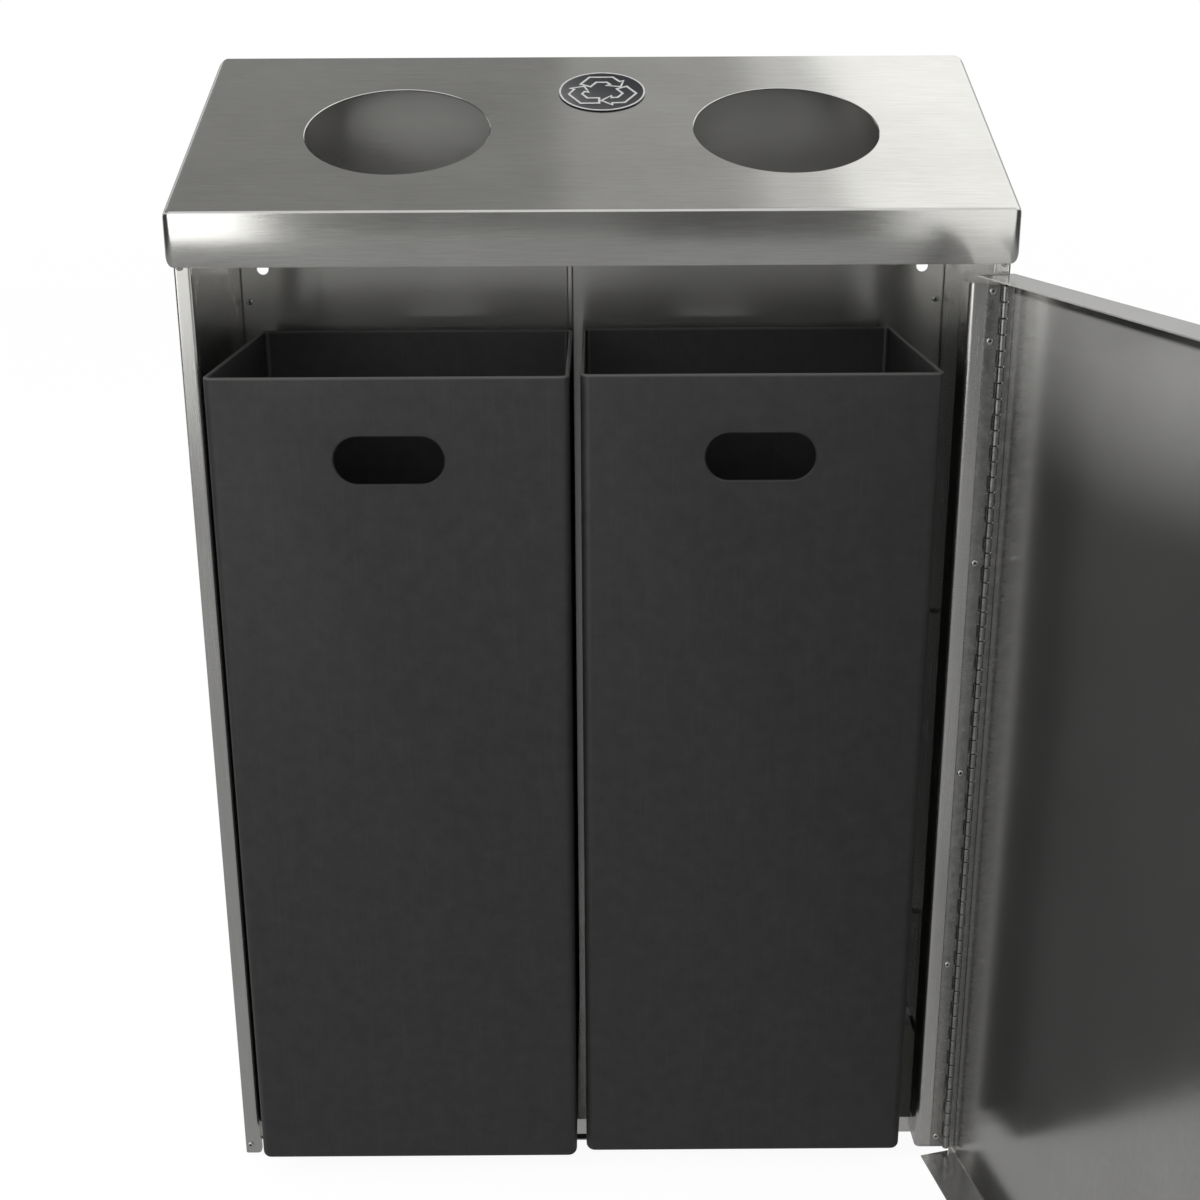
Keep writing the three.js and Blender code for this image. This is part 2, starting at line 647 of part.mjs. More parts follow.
function makeCabinetLeaf() {
  const back = KNUCKLE_R;
  const bridge = [[-KNUCKLE_R - GAP - 1, -1], [back - LEAF_T, back]];
  const plate = box(
    [-LEAF_W, -KNUCKLE_R - GAP],
    [back - LEAF_T, back],
    [HINGE_BOTTOM, HINGE_BOTTOM + HINGE_LENGTH],
  );
  const holes = HINGE_RIVETS_Z.map((z) => (
    rivetHole(Y_AXIS, new THREE.Vector3(-HINGE_RIVET_FROM_AXIS, back, z))));
  return plated('cabinet_hinge_leaf', geometryOf(cut(join(plate, ...knuckles(0, bridge)), ...holes)));
}

function makeDoorLeaf() {
  const inside = -DOOR_FACE + DOOR_SHEET + GAP;
  const half = DOOR_LEAF_T / 2;
  const bridge = [[-half + LEAF_STEP, half - LEAF_STEP], [-KNUCKLE_R - 2 * GAP, -PIN_R]];
  const plate = box(
    [-half, half],
    [inside, -KNUCKLE_R - GAP],
    [HINGE_BOTTOM, HINGE_BOTTOM + HINGE_LENGTH],
  );
  return plated('door_hinge_leaf', geometryOf(join(plate, ...knuckles(1, bridge))));
}

function makeHingePin() {
  const pin = new THREE.CylinderGeometry(PIN_R, PIN_R, HINGE_LENGTH - 2 * GAP, KNUCKLE_SIDES);
  pin.rotateX(Math.PI / 2);
  pin.translate(0, 0, HINGE_BOTTOM + HINGE_LENGTH / 2);
  return plated('hinge_pin', pin);
}

// ---------------------------------------------------------------- door, closed, in the hinge's frame

/** Top or bottom flange of the door, mitred at the hinge and notched at the latch edge. */
function doorFlange(low) {
  const back = DOOR_FLANGE_D - DOOR_FACE;
  const latchDepth = -DOOR_FACE + DOOR_LATCH_FLANGE_D;
  const shape = outline([
    [DOOR_LATCH_EDGE, -DOOR_FACE],
    [DOOR_HINGE_EDGE, -DOOR_FACE],
    [DOOR_HINGE_EDGE, -DOOR_FACE + DOOR_HINGE_FLANGE_D],
    [DOOR_HINGE_EDGE - DOOR_HINGE_MITRE, back],
    [DOOR_LATCH_EDGE + DOOR_NOTCH, back],
    [DOOR_LATCH_EDGE + DOOR_NOTCH, latchDepth],
    [DOOR_LATCH_EDGE, latchDepth],
  ]);
  return prism('z', shape, [low, low + DOOR_SHEET]);
}

function makeDoorPanel() {
  const height = [DOOR_BOTTOM, DOOR_TOP];
  const face = -DOOR_FACE;
  const pan = join(
    box([DOOR_LATCH_EDGE, DOOR_HINGE_EDGE], [face, face + DOOR_SHEET], height),
    box([DOOR_HINGE_EDGE - DOOR_SHEET, DOOR_HINGE_EDGE], [face, face + DOOR_HINGE_FLANGE_D], height),
    box([DOOR_LATCH_EDGE, DOOR_LATCH_EDGE + DOOR_SHEET], [face, face + DOOR_LATCH_FLANGE_D], height),
    doorFlange(DOOR_TOP - DOOR_SHEET),
    doorFlange(DOOR_BOTTOM),
  );
  const lockHole = rod(Y_AXIS, new THREE.Vector3(LOCK_X, face, LOCK_Z), LOCK_BARREL_R + GAP, 6);
  return brushed('door_panel', pan.subtract(lockHole));
}

/** Places a piece that was turned about +Y on the lock's axis, pointing into the cabinet. */
function onLockAxis(mesh) {
  mesh.position.set(LOCK_X, 0, LOCK_Z);
  return mesh;
}

function makeLockHousing() {
  const front = -DOOR_FACE - GAP;
  const bore = LOCK_PLUG_R + GAP;
  const profile = [
    [bore, front - LOCK_HEAD_T],
    [LOCK_HEAD_R - 0.6, front - LOCK_HEAD_T],
    [LOCK_HEAD_R, front - LOCK_HEAD_T + 0.6],
    [LOCK_HEAD_R, front],
    [LOCK_BARREL_R, front],
    [LOCK_BARREL_R, LOCK_BARREL_END],
    [bore, LOCK_BARREL_END],
    [bore, front - LOCK_HEAD_T],
  ];
  return onLockAxis(plated('lock_housing', turned(profile, 24)));
}

function makeLockNut() {
  const low = -DOOR_FACE + DOOR_SHEET + GAP;
  const hexagon = outline(Array.from({ length: 6 }, (_, i) => [
    LOCK_NUT_R * Math.cos((i * Math.PI) / 3),
    LOCK_NUT_R * Math.sin((i * Math.PI) / 3),
  ]));
  const bore = rod(Y_AXIS, new THREE.Vector3(), LOCK_BARREL_R + GAP, 40);
  const nut = prism('y', hexagon, [low, low + LOCK_NUT_T]).subtract(bore);
  return onLockAxis(plated('lock_nut', geometryOf(nut)));
}

function makeLockPlug() {
  const front = -DOOR_FACE - GAP - LOCK_HEAD_T - GAP;
  const back = LOCK_CAM_FROM_AXIS - GAP;
  const middle = new THREE.Vector3(0, (front + back) / 2, 0);
  const keyhole = box(
    [-KEYHOLE_W / 2, KEYHOLE_W / 2],
    [front - 1, front + KEYHOLE_DEPTH],
    [-KEYHOLE_H / 2, KEYHOLE_H / 2],
  );
  const screwHole = rod(Y_AXIS, new THREE.Vector3(0, back, 0), LOCK_SCREW_R + GAP, 2 * (LOCK_SCREW_DEPTH + GAP), 12);
  const plug = cut(rod(Y_AXIS, middle, LOCK_PLUG_R, back - front), keyhole, screwHole);
  return onLockAxis(plated('lock_plug', geometryOf(plug)));
}

/** Cam, pointing up while unlocked; a quarter turn takes it behind the left post's return. */
function makeLockCam() {
  const half = LOCK_CAM_W / 2;
  const shape = outline([
    [-half, -LOCK_CAM_TAIL, half - 1],
    [half, -LOCK_CAM_TAIL, half - 1],
    [half, LOCK_CAM_REACH, half / 2],
    [-half, LOCK_CAM_REACH, half / 2],
  ]);
  const hole = rod(Y_AXIS, new THREE.Vector3(), LOCK_SCREW_R + GAP, 60, 12);
  const span = [LOCK_CAM_FROM_AXIS, LOCK_CAM_FROM_AXIS + LOCK_CAM_T];
  return onLockAxis(plated('lock_cam', geometryOf(prism('y', shape, span).subtract(hole))));
}

function makeLockCamScrew() {
  const seat = LOCK_CAM_FROM_AXIS + LOCK_CAM_T + GAP;
  const tip = LOCK_CAM_FROM_AXIS - LOCK_SCREW_DEPTH;
  const profile = [
    [0, tip],
    [LOCK_SCREW_R, tip + GAP],
    [LOCK_SCREW_R, seat],
    [LOCK_SCREW_HEAD_R, seat],
    [LOCK_SCREW_HEAD_R * 0.8, seat + LOCK_SCREW_HEAD_T],
    [0, seat + LOCK_SCREW_HEAD_T],
  ];
  return onLockAxis(plated('lock_cam_screw', turned(profile, 12)));
}

// ---------------------------------------------------------------- liners

/** Open-topped liner with rounded corners and a hand hole in its front wall. */
function makeLiner(name, leftX, drawn) {
  const footprint = (inset) => {
    const radius = LINER_CORNER_R - inset;
    return outline([
      [inset, inset, radius],
      [LINER_W - inset, inset, radius],
      [LINER_W - inset, LINER_D - inset, radius],
      [inset, LINER_D - inset, radius],
    ]);
  };
  const middle = LINER_W / 2;
  const holeZ = LINER_H - HAND_HOLE_BELOW_RIM;
  const round = HAND_HOLE_H / 2 - 0.01;
  const handHole = prism('y', outline([
    [middle - HAND_HOLE_W / 2, holeZ - HAND_HOLE_H / 2, round],
    [middle + HAND_HOLE_W / 2, holeZ - HAND_HOLE_H / 2, round],
    [middle + HAND_HOLE_W / 2, holeZ + HAND_HOLE_H / 2, round],
    [middle - HAND_HOLE_W / 2, holeZ + HAND_HOLE_H / 2, round],
  ]), [-LINER_WALL, LINER_WALL * 2]);
  const solid = cut(
    prism('z', footprint(0), [0, LINER_H]),
    prism('z', footprint(LINER_WALL), [LINER_WALL, LINER_H + 1]),
    handHole,
  );
  const liner = piece(name, geometryOf(solid), COLOURS.liner, 0.6, 0);
  liner.position.set(leftX, LINER_HOME_FRONT - drawn, PAN_TOP + GAP);
  return liner;
}

// ---------------------------------------------------------------- assembly

const cabinet = new THREE.Group();
cabinet.add(
  makeLid(),
  makeBadge(),
  makeSidePanel('left_side_panel', -1),
  makeSidePanel('right_side_panel', 1),
  makeBackPanel(),
  makeLinerBead(),
  makeTopRail(),
  makeHingeJamb(),
  makeFloorPan(),
  makeFloorRunner(),
);

for (const [side, word] of [[-1, 'left'], [1, 'right']]) {
  cabinet.add(
    makeLidScrew(`lid_screw_${word}_front`, side, LID_SCREW_Y[0]),
    makeLidScrew(`lid_screw_${word}_back`, side, LID_SCREW_Y[1]),
    makeFoot(`foot_${word}_front`, side, -1),
    makeFoot(`foot_${word}_back`, side, 1),
    rivet(
      `rail_rivet_${word}`,
      new THREE.Vector3(side * (BODY_X - POST_RIVET_FROM_EDGE), BODY_FRONT, RAIL_RIVET_Z),
      Y_AXIS,
      2 * SHEET + GAP,
    ),
  );
  BACK_RIVETS_Z.forEach((z, i) => {
    const place = new THREE.Vector3(side * BACK_RIVET_X, BACK_PANEL_IN, z);
    cabinet.add(rivet(`back_rivet_${word}_${i + 1}`, place, Y_AXIS, 2 * SHEET + GAP));
  });
}

cabinet.add(rivet(
  'pan_rivet',
  new THREE.Vector3(-BODY_X + POST_RIVET_FROM_EDGE, BODY_FRONT, PAN_EAR_RIVET_Z),
  Y_AXIS,
  2 * SHEET + GAP,
));

HINGE_RIVETS_Z.forEach((z, i) => {
  const leafFront = BODY_FRONT - GAP - LEAF_T;
  const place = new THREE.Vector3(HINGE_X - HINGE_RIVET_FROM_AXIS, leafFront, z);
  cabinet.add(rivet(`hinge_rivet_${i + 1}`, place, Y_AXIS, LEAF_T + GAP + SHEET));
});

const fixedHinge = new THREE.Group();
fixedHinge.position.set(HINGE_X, HINGE_Y, 0);
fixedHinge.add(makeCabinetLeaf(), makeHingePin());

const door = new THREE.Group();
door.position.set(HINGE_X, HINGE_Y, 0);
door.rotation.z = DOOR_OPEN;
door.add(
  makeDoorPanel(),
  makeDoorLeaf(),
  makeLockHousing(),
  makeLockNut(),
  makeLockPlug(),
  makeLockCam(),
  makeLockCamScrew(),
);

const liners = new THREE.Group();
liners.add(
  makeLiner('left_liner', LEFT_LINER_X, LEFT_LINER_DRAWN),
  makeLiner('right_liner', RIGHT_LINER_X, RIGHT_LINER_DRAWN),
);

const group = new THREE.Group();
group.add(cabinet, fixedHinge, door, liners);

export default group;
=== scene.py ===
"""Double recycling bin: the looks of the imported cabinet, its door, hinge, lock and liners.

Every piece is worked out in metres in the cabinet's own frame: +X right, +Y back, +Z up, with the
origin on the floor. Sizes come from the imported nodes' boxes and from the fields of each class.
"""

import json
import logging
import math
from dataclasses import dataclass, field
from enum import Enum
from typing import Optional, Sequence

import bpy
import numpy as np
from mathutils import Matrix, Vector


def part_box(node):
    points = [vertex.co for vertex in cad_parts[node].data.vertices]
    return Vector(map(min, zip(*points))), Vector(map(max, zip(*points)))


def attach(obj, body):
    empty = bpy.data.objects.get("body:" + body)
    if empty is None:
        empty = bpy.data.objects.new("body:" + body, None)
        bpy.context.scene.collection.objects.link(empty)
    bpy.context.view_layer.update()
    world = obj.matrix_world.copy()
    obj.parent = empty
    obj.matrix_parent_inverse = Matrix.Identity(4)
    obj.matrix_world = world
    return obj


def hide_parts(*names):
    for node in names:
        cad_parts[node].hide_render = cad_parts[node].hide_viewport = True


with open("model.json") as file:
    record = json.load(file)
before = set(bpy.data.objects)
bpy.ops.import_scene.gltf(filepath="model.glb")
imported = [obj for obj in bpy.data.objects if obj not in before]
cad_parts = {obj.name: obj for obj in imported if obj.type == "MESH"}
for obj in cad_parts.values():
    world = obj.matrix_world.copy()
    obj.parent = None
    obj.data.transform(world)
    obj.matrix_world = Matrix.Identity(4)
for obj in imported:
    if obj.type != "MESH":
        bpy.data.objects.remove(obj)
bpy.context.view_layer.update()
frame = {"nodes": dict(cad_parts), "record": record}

LOG = logging.getLogger("recycling_bin")
MM = 0.001
Corners = tuple[np.ndarray, np.ndarray]
Colour = tuple[float, float, float]
EVEN = (1.0, 1.0, 1.0)


# ------------------------------------------------------------------ meshes from arrays


@dataclass
class Skin:
    """Points and faces of one piece, before they become an object."""

    points: np.ndarray
    faces: list = field(default_factory=list)

    def __add__(self, other: "Skin") -> "Skin":
        """Joins two skins.

        Args:
            other: the skin that is added.

        Returns:
            One skin that holds both.
        """
        shift = len(self.points)
        moved = [[i + shift for i in face] for face in other.faces]
        return Skin(np.vstack([self.points, other.points]), self.faces + moved)

    def turned(self, matrix: Matrix) -> "Skin":
        """Returns the skin carried through a 4x4 matrix.

        Args:
            matrix: where the skin's own frame lies in the cabinet's.

        Returns:
            A new skin with the same faces.
        """
        m = np.array(matrix)
        return Skin(self.points @ m[:3, :3].T + m[:3, 3], self.faces)


def loft(rings: np.ndarray, closed_profile: bool = False) -> Skin:
    """Joins a stack of closed rings with quads.

    The surface is P(i, j), ring i and point j, with j running round each ring and wrapping. An
    open profile's first and last ring are filled.

    Args:
        rings: array (rings, points, 3).
        closed_profile: whether the last ring joins the first.

    Returns:
        The closed skin.
    """
    count, around = rings.shape[:2]
    last = count if closed_profile else count - 1
    i, j = np.meshgrid(np.arange(last), np.arange(around), indexing="ij")
    below, above = i * around, ((i + 1) % count) * around
    after = (j + 1) % around
    quads = np.stack([below + j, below + after, above + after, above + j], -1).reshape(-1, 4)
    faces = quads.tolist()
    if not closed_profile:
        faces.append(list(range(around - 1, -1, -1)))
        faces.append(list(range((count - 1) * around, count * around)))
    return Skin(rings.reshape(-1, 3), faces)


def lathe(profile: Sequence[tuple[float, float]], steps: int, closed: bool = False) -> Skin:
    """Turns a profile about +Z: the point (r, h) becomes (r cos a, r sin a, h).

    Args:
        profile: points (radius, height); an open one starts and ends near the axis.
        steps: how many steps go round.
        closed: whether the profile's end joins its start, as on a ring.

    Returns:
        The closed skin.
    """
    r, h = np.array(profile, float).T
    a = np.linspace(0, 2 * np.pi, steps, endpoint=False)
    rings = np.stack([
        r[:, None] * np.cos(a), r[:, None] * np.sin(a), np.repeat(h[:, None], steps, 1)], -1)
    return loft(rings, closed_profile=closed)


def arc(centre: tuple[float, float], radius: float, start: float, end: float, steps: int) -> np.ndarray:
    """Points centre + radius (cos a, sin a), a in degrees from start to end.

    Args:
        centre: middle of the arc.
        radius: its radius.
        start: first angle.
        end: last angle.
        steps: how many straight steps it has.

    Returns:
        Array (steps + 1, 2).
    """
    a = np.radians(np.linspace(start, end, steps + 1))
    return np.stack([centre[0] + radius * np.cos(a), centre[1] + radius * np.sin(a)], -1)


def rounded_outline(half_x: float, half_y: float, radius: float, steps: int) -> np.ndarray:
    """Counterclockwise rounded rectangle about the origin: four quarter arcs in turn.

    Args:
        half_x: half its width.
        half_y: half its depth.
        radius: corner radius.
        steps: steps in each corner.

    Returns:
        Array (4 (steps + 1), 2).
    """
    x, y = half_x - radius, half_y - radius
    quarters = [((x, -y), -90), ((x, y), 0), ((-x, y), 90), ((-x, -y), 180)]
    return np.vstack([arc(c, radius, a, a + 90, steps) for c, a in quarters])


def folded_outline(path: np.ndarray, thickness: float, bends: Sequence[float],
                   steps: int) -> np.ndarray:
    """Closed outline of a folded sheet whose outer face follows a path, the sheet on its left.

    Each inner corner of the path is rounded on both faces about one centre: with the inside
    radius b of a left turn, the faces' radii are b + thickness and b.

    Args:
        path: corners of the outer face, array (n, 2).
        thickness: of the sheet.
        bends: inside radius of the fold at each inner corner, n - 2 of them.
        steps: steps in each fold.

    Returns:
        Outline, array (m, 2).
    """
    heading = np.diff(path, axis=0)
    heading /= np.linalg.norm(heading, axis=1)[:, None]
    left = np.stack([-heading[:, 1], heading[:, 0]], -1)
    outer, inner = [path[:1]], [path[:1] + left[:1] * thickness]
    for k, bend in enumerate(bends):
        before, after = heading[k], heading[k + 1]
        turn = float(before[0] * after[1] - before[1] * after[0])
        side = 1.0 if turn > 0 else -1.0
        radius = bend + thickness if side > 0 else bend
        middle = left[k] + left[k + 1]
        centre = path[k + 1] + side * radius * middle / (1 + float(before @ after))
        first = math.degrees(math.atan2(*(-side * left[k])[::-1]))
        sweep = side * math.degrees(math.acos(float(np.clip(before @ after, -1, 1))))
        outer.append(arc(tuple(centre), radius, first, first + sweep, steps))
        inner.append(arc(tuple(centre), radius - side * thickness, first, first + sweep, steps))
    outer.append(path[-1:])
    inner.append(path[-1:] + left[-1:] * thickness)
    return np.vstack([np.vstack(outer), np.vstack(inner)[::-1]])


def turned_mm(profile: Sequence[tuple[float, float]], place: Matrix, steps: int,
              closed: bool = False) -> Skin:
    """Turns a profile that is given in millimetres and carries it to its place.

    Args:
        profile: points (radius, height).
        place: the frame of the piece's own axis.
        steps: how many steps go round.
        closed: whether the profile's end joins its start.

    Returns:
        The closed skin.
    """
    return lathe([(r * MM, h * MM) for r, h in profile], steps, closed).turned(place)


def prism(outline: np.ndarray, low: float, high: float) -> Skin:
    """Carries a flat outline (x, y) straight up from low to high, and closes both ends."""
    rings = np.stack([np.column_stack([outline, np.full(len(outline), z)]) for z in (low, high)])
    return loft(rings)


def on_axes(u: Sequence[float], v: Sequence[float], w: Sequence[float], at: Sequence[float]) -> Matrix:
    """Frame with its own axes along three directions.

    Args:
        u: where its own x points.
        v: where its own y points.
        w: where its own z points.
        at: its origin.

    Returns:
        A 4x4 matrix.
    """
    m = Matrix((u, v, w)).transposed().to_4x4()
    m.translation = Vector(at)
    return m


def make_object(name: str, skin: Skin, smooth: float = 35.0) -> bpy.types.Object:
    """Puts a skin into a mesh object at the origin.

    Args:
        name: the piece's name.
        skin: its points and faces.
        smooth: faces that meet under this angle, in degrees, are shaded as one.

    Returns:
        The linked object.
    """
    mesh = bpy.data.meshes.new(name)
    mesh.from_pydata(skin.points.tolist(), [], skin.faces)
    mesh.validate()
    mesh.set_sharp_from_angle(angle=math.radians(smooth))
    mesh.polygons.foreach_set("use_smooth", np.ones(len(mesh.polygons), bool))
    obj = bpy.data.objects.new(name, mesh)
    bpy.context.scene.collection.objects.link(obj)
    return obj


def cut_with(obj: bpy.types.Object, cutters: Sequence[Skin], smooth: float = 35.0) -> None:
    """Cuts solids out of an object for good.

    Args:
        obj: what is cut.
        cutters: closed skins.
        smooth: shading angle after the cut, in degrees.
    """
    for n, skin in enumerate(cutters):
        tool = make_object(f"cutter_{n}", skin)
        modifier = obj.modifiers.new("cut", "BOOLEAN")
        modifier.object = tool
        modifier.solver = "EXACT"
        bpy.context.view_layer.update()
        graph = bpy.context.evaluated_depsgraph_get()
        mesh = bpy.data.meshes.new_from_object(obj.evaluated_get(graph))
        obj.modifiers.clear()
        old = obj.data
        obj.data = mesh
        bpy.data.meshes.remove(old)
        bpy.data.objects.remove(tool)
    obj.data.name = obj.name
    obj.data.set_sharp_from_angle(angle=math.radians(smooth))


# ------------------------------------------------------------------ finishes


class Grain(Enum):
    """Which way a sheet's brushing runs, as the stretch of its pattern along x, y and z."""

    ALONG_X = (1.0, 60.0, 60.0)
    ALONG_Z = (60.0, 60.0, 1.0)
    CLOUDY = (14.0, 14.0, 9.0)


class Nodes:
    """Short ways to add shader nodes to one material."""

    def __init__(self, name: str) -> None:
        """Starts a material with one Principled surface.

        Args:
            name: the material's name.
        """
        self.material = bpy.data.materials.new(name)
        self.material.use_nodes = True
        self.tree = self.material.node_tree
        self.surface = self.tree.nodes["Principled BSDF"]

    def add(self, kind: str, **values: object) -> bpy.types.Node:
        """Adds a node and sets its properties.

        Args:
            kind: the node's type name.
            **values: properties by name.

        Returns:
            The new node.
        """
        node = self.tree.nodes.new(kind)
        for name, value in values.items():
            setattr(node, name, value)
        return node

    def link(self, source: bpy.types.NodeSocket, target: bpy.types.NodeSocket) -> None:
        """Joins two sockets."""
        self.tree.links.new(source, target)

    def place(self, scale: Sequence[float]) -> bpy.types.NodeSocket:
        """Places a pattern on the object's own coordinates.

        Args:
            scale: stretch along each axis.

        Returns:
            The socket of the coordinates, in metres before the stretch.
        """
        where = self.add("ShaderNodeTexCoord")
        mapping = self.add("ShaderNodeMapping")
        mapping.inputs["Scale"].default_value = scale
        self.link(where.outputs["Object"], mapping.inputs["Vector"])
        return mapping.outputs["Vector"]

    def noise(self, scale: Sequence[float], size: float, detail: float,
              rough: float = 0.6) -> bpy.types.NodeSocket:
        """Returns a noise pattern.

        Args:
            scale: stretch along each axis.
            size: noise scale, in cells a metre before the stretch.
            detail: octaves.
            rough: how strong the finer octaves are.

        Returns:
            The factor's socket.
        """
        node = self.add("ShaderNodeTexNoise")
        node.inputs["Scale"].default_value = size
        node.inputs["Detail"].default_value = detail
        node.inputs["Roughness"].default_value = rough
        self.link(self.place(scale), node.inputs["Vector"])
        return node.outputs["Fac"]

    def spread(self, factor: bpy.types.NodeSocket, low: float, high: float,
               near: float = 0.3, far: float = 0.7) -> bpy.types.NodeSocket:
        """Maps a factor evenly from one span onto another.

        Args:
            factor: what is mapped.
            low: what near becomes.
            high: what far becomes.
            near: start of the factor's span.
            far: end of the factor's span.

        Returns:
            The result's socket.
        """
        node = self.add("ShaderNodeMapRange")
        for name, value in (("From Min", near), ("From Max", far), ("To Min", low), ("To Max", high)):
            node.inputs[name].default_value = value
        self.link(factor, node.inputs["Value"])
        return node.outputs["Result"]

    def tint(self, factor: bpy.types.NodeSocket, under: Colour | bpy.types.NodeSocket,
             over: Colour) -> bpy.types.NodeSocket:
        """Mixes two colours by a factor.

        Args:
            factor: 0 for the colour under, 1 for the one over.
            under: a colour, or the socket of one.
            over: a colour.

        Returns:
            The mixed colour's socket.
        """
        node = self.add("ShaderNodeMix", data_type="RGBA")
        if isinstance(under, bpy.types.NodeSocket):
            self.link(under, node.inputs["A"])
        else:
            node.inputs["A"].default_value = (*under, 1)
        node.inputs["B"].default_value = (*over, 1)
        self.link(factor, node.inputs["Factor"])
        return next(s for s in node.outputs if s.type == "RGBA")

    def relief(self, height: bpy.types.NodeSocket, strength: float, depth: float,
               under: Optional[bpy.types.NodeSocket] = None) -> bpy.types.NodeSocket:
        """Returns a bumped normal.

        Args:
            height: pattern.
            strength: of the bump.
            depth: its height in metres.
            under: a normal to bump further.

        Returns:
            The normal's socket.
        """
        node = self.add("ShaderNodeBump")
        node.inputs["Strength"].default_value = strength
        node.inputs["Distance"].default_value = depth
        self.link(height, node.inputs["Height"])
        if under is not None:
            self.link(under, node.inputs["Normal"])
        return node.outputs["Normal"]


@dataclass(frozen=True)
class BrushedSteel:
    """Stainless sheet with its brushing, faint cloudiness and rolled waviness.

    Its highlights are drawn out along smear, which lies square to the brushing.
    """

    name: str
    grain: Grain
    dark: Colour = (0.45, 0.445, 0.43)
    light: Colour = (0.67, 0.665, 0.65)
    polish: tuple[float, float] = (0.12, 0.19)
    brush_depth: float = 0.000014
    wave_depth: float = 0.00012
    smear: tuple[float, float, float] = (0.0, 0.41, 0.91)
    stretch: float = 0.6
    metal: float = 1.0

    def make(self) -> bpy.types.Material:
        """Returns the material: fine streaks drive colour, roughness and bump, clouds the rest."""
        n = Nodes(self.name)
        streaks = n.noise(self.grain.value, 22.0, 7.0, 0.8)
        clouds = n.noise(EVEN, 9.0, 4.0, 0.55)
        waves = n.noise(EVEN, 2.6, 1.0, 0.4)
        mixed = n.add("ShaderNodeMix", data_type="FLOAT")
        mixed.inputs["Factor"].default_value = 0.35
        n.link(streaks, mixed.inputs["A"])
        n.link(clouds, mixed.inputs["B"])
        fleck = mixed.outputs["Result"]
        n.link(n.tint(n.spread(fleck, 0, 1), self.dark, self.light), n.surface.inputs["Base Color"])
        n.link(n.spread(fleck, *self.polish), n.surface.inputs["Roughness"])
        n.surface.inputs["Metallic"].default_value = self.metal
        across = n.add("ShaderNodeCombineXYZ")
        for axis, value in zip("XYZ", self.smear):
            across.inputs[axis].default_value = value
        n.link(across.outputs["Vector"], n.surface.inputs["Tangent"])
        n.surface.inputs["Anisotropic"].default_value = self.stretch
        flat = n.relief(waves, 0.25, self.wave_depth)
        n.link(n.relief(streaks, 0.5, self.brush_depth, flat), n.surface.inputs["Normal"])
        return n.material


@dataclass(frozen=True)
class BrightMetal:
    """Plain bright fasteners, hinge and lock: fine tool marks and soft handling stains."""

    name: str
    colour: Colour = (0.62, 0.62, 0.6)
    polish: tuple[float, float] = (0.16, 0.32)

    def make(self) -> bpy.types.Material:
        """Returns the material: one noise for stains and a finer one for tool marks."""
        n = Nodes(self.name)
        stains = n.noise(EVEN, 160.0, 4.0)
        marks = n.noise((1.0, 1.0, 4.0), 1400.0, 3.0)
        worn = tuple(0.72 * c for c in self.colour)
        n.link(n.tint(n.spread(stains, 0, 1), worn, self.colour), n.surface.inputs["Base Color"])
        n.link(n.spread(stains, *self.polish), n.surface.inputs["Roughness"])
        n.surface.inputs["Metallic"].default_value = 1.0
        n.link(n.relief(marks, 0.3, 0.00003), n.surface.inputs["Normal"])
        return n.material


@dataclass(frozen=True)
class LinerPlastic:
    """Charcoal rigid plastic: a pebbled skin, faint mottle, dusty patches and a pale rim band, painted
    as a highlight along the rim's edge and partly as rub wear.
    """

    name: str
    rim_z: float
    dark: Colour = (0.016, 0.016, 0.017)
    light: Colour = (0.028, 0.028, 0.028)
    dust: Colour = (0.055, 0.054, 0.053)
    # The top few millimetres are lightened all round: a painted highlight along the rim's edge, partly
    # rub wear.
    rim_rub_and_highlight: Colour = (0.09, 0.089, 0.086)
    rim_band_from: float = 2.6 * MM
    rim_band_full: float = 1 * MM

    def make(self) -> bpy.types.Material:
        """Returns the material: mottle, scuffs and a pale rim band, a painted highlight that is partly
        rub wear, for colour, patches, then pebbles.

        The patches vary the gloss and the pebbles the relief.
        """
        n = Nodes(self.name)
        mottle = n.noise(EVEN, 75.0, 8.0, 0.72)
        patches = n.noise((1.0, 1.0, 0.6), 5.0, 3.0, 0.5)
        scuffs = n.noise((26.0, 26.0, 1.0), 16.0, 5.0, 0.6)
        pebbles = n.noise(EVEN, 900.0, 2.0)
        height = n.add("ShaderNodeSeparateXYZ")
        n.link(n.place(EVEN), height.inputs["Vector"])
        # Pale band at the rim's top: painted highlight, partly rub wear.
        rim_band_mask = n.spread(height.outputs["Z"], 0, 1, self.rim_z - self.rim_band_from,
                            self.rim_z - self.rim_band_full)
        base = n.tint(n.spread(mottle, 0, 1), self.dark, self.light)
        dusty = n.tint(n.spread(scuffs, 0.0, 0.22, 0.55, 0.8), base, self.dust)
        n.link(n.tint(rim_band_mask, dusty, self.rim_rub_and_highlight), n.surface.inputs["Base Color"])
        n.link(n.spread(patches, 0.42, 0.6), n.surface.inputs["Roughness"])
        n.link(n.relief(pebbles, 0.35, 0.00012), n.surface.inputs["Normal"])
        return n.material


@dataclass(frozen=True)
class PlainCoat:
    """Rubber, enamel, print or painted shade: one colour with a fine mottle, its own gloss and relief.
    """

    name: str
    colour: Colour
    roughness: float
    grain_size: float = 600.0
    relief: float = 0.0001

    def make(self) -> bpy.types.Material:
        """Returns the material: the mottle varies colour, roughness and bump together."""
        n = Nodes(self.name)
        mottle = n.noise(EVEN, self.grain_size, 5.0)
        dark = tuple(0.8 * c for c in self.colour)
        light = tuple(min(1.0, 1.15 * c) for c in self.colour)
        n.link(n.tint(n.spread(mottle, 0, 1), dark, light), n.surface.inputs["Base Color"])
        gloss = n.spread(mottle, self.roughness * 0.85, self.roughness * 1.15)
        n.link(gloss, n.surface.inputs["Roughness"])
        n.link(n.relief(mottle, 0.25, self.relief), n.surface.inputs["Normal"])
        return n.material


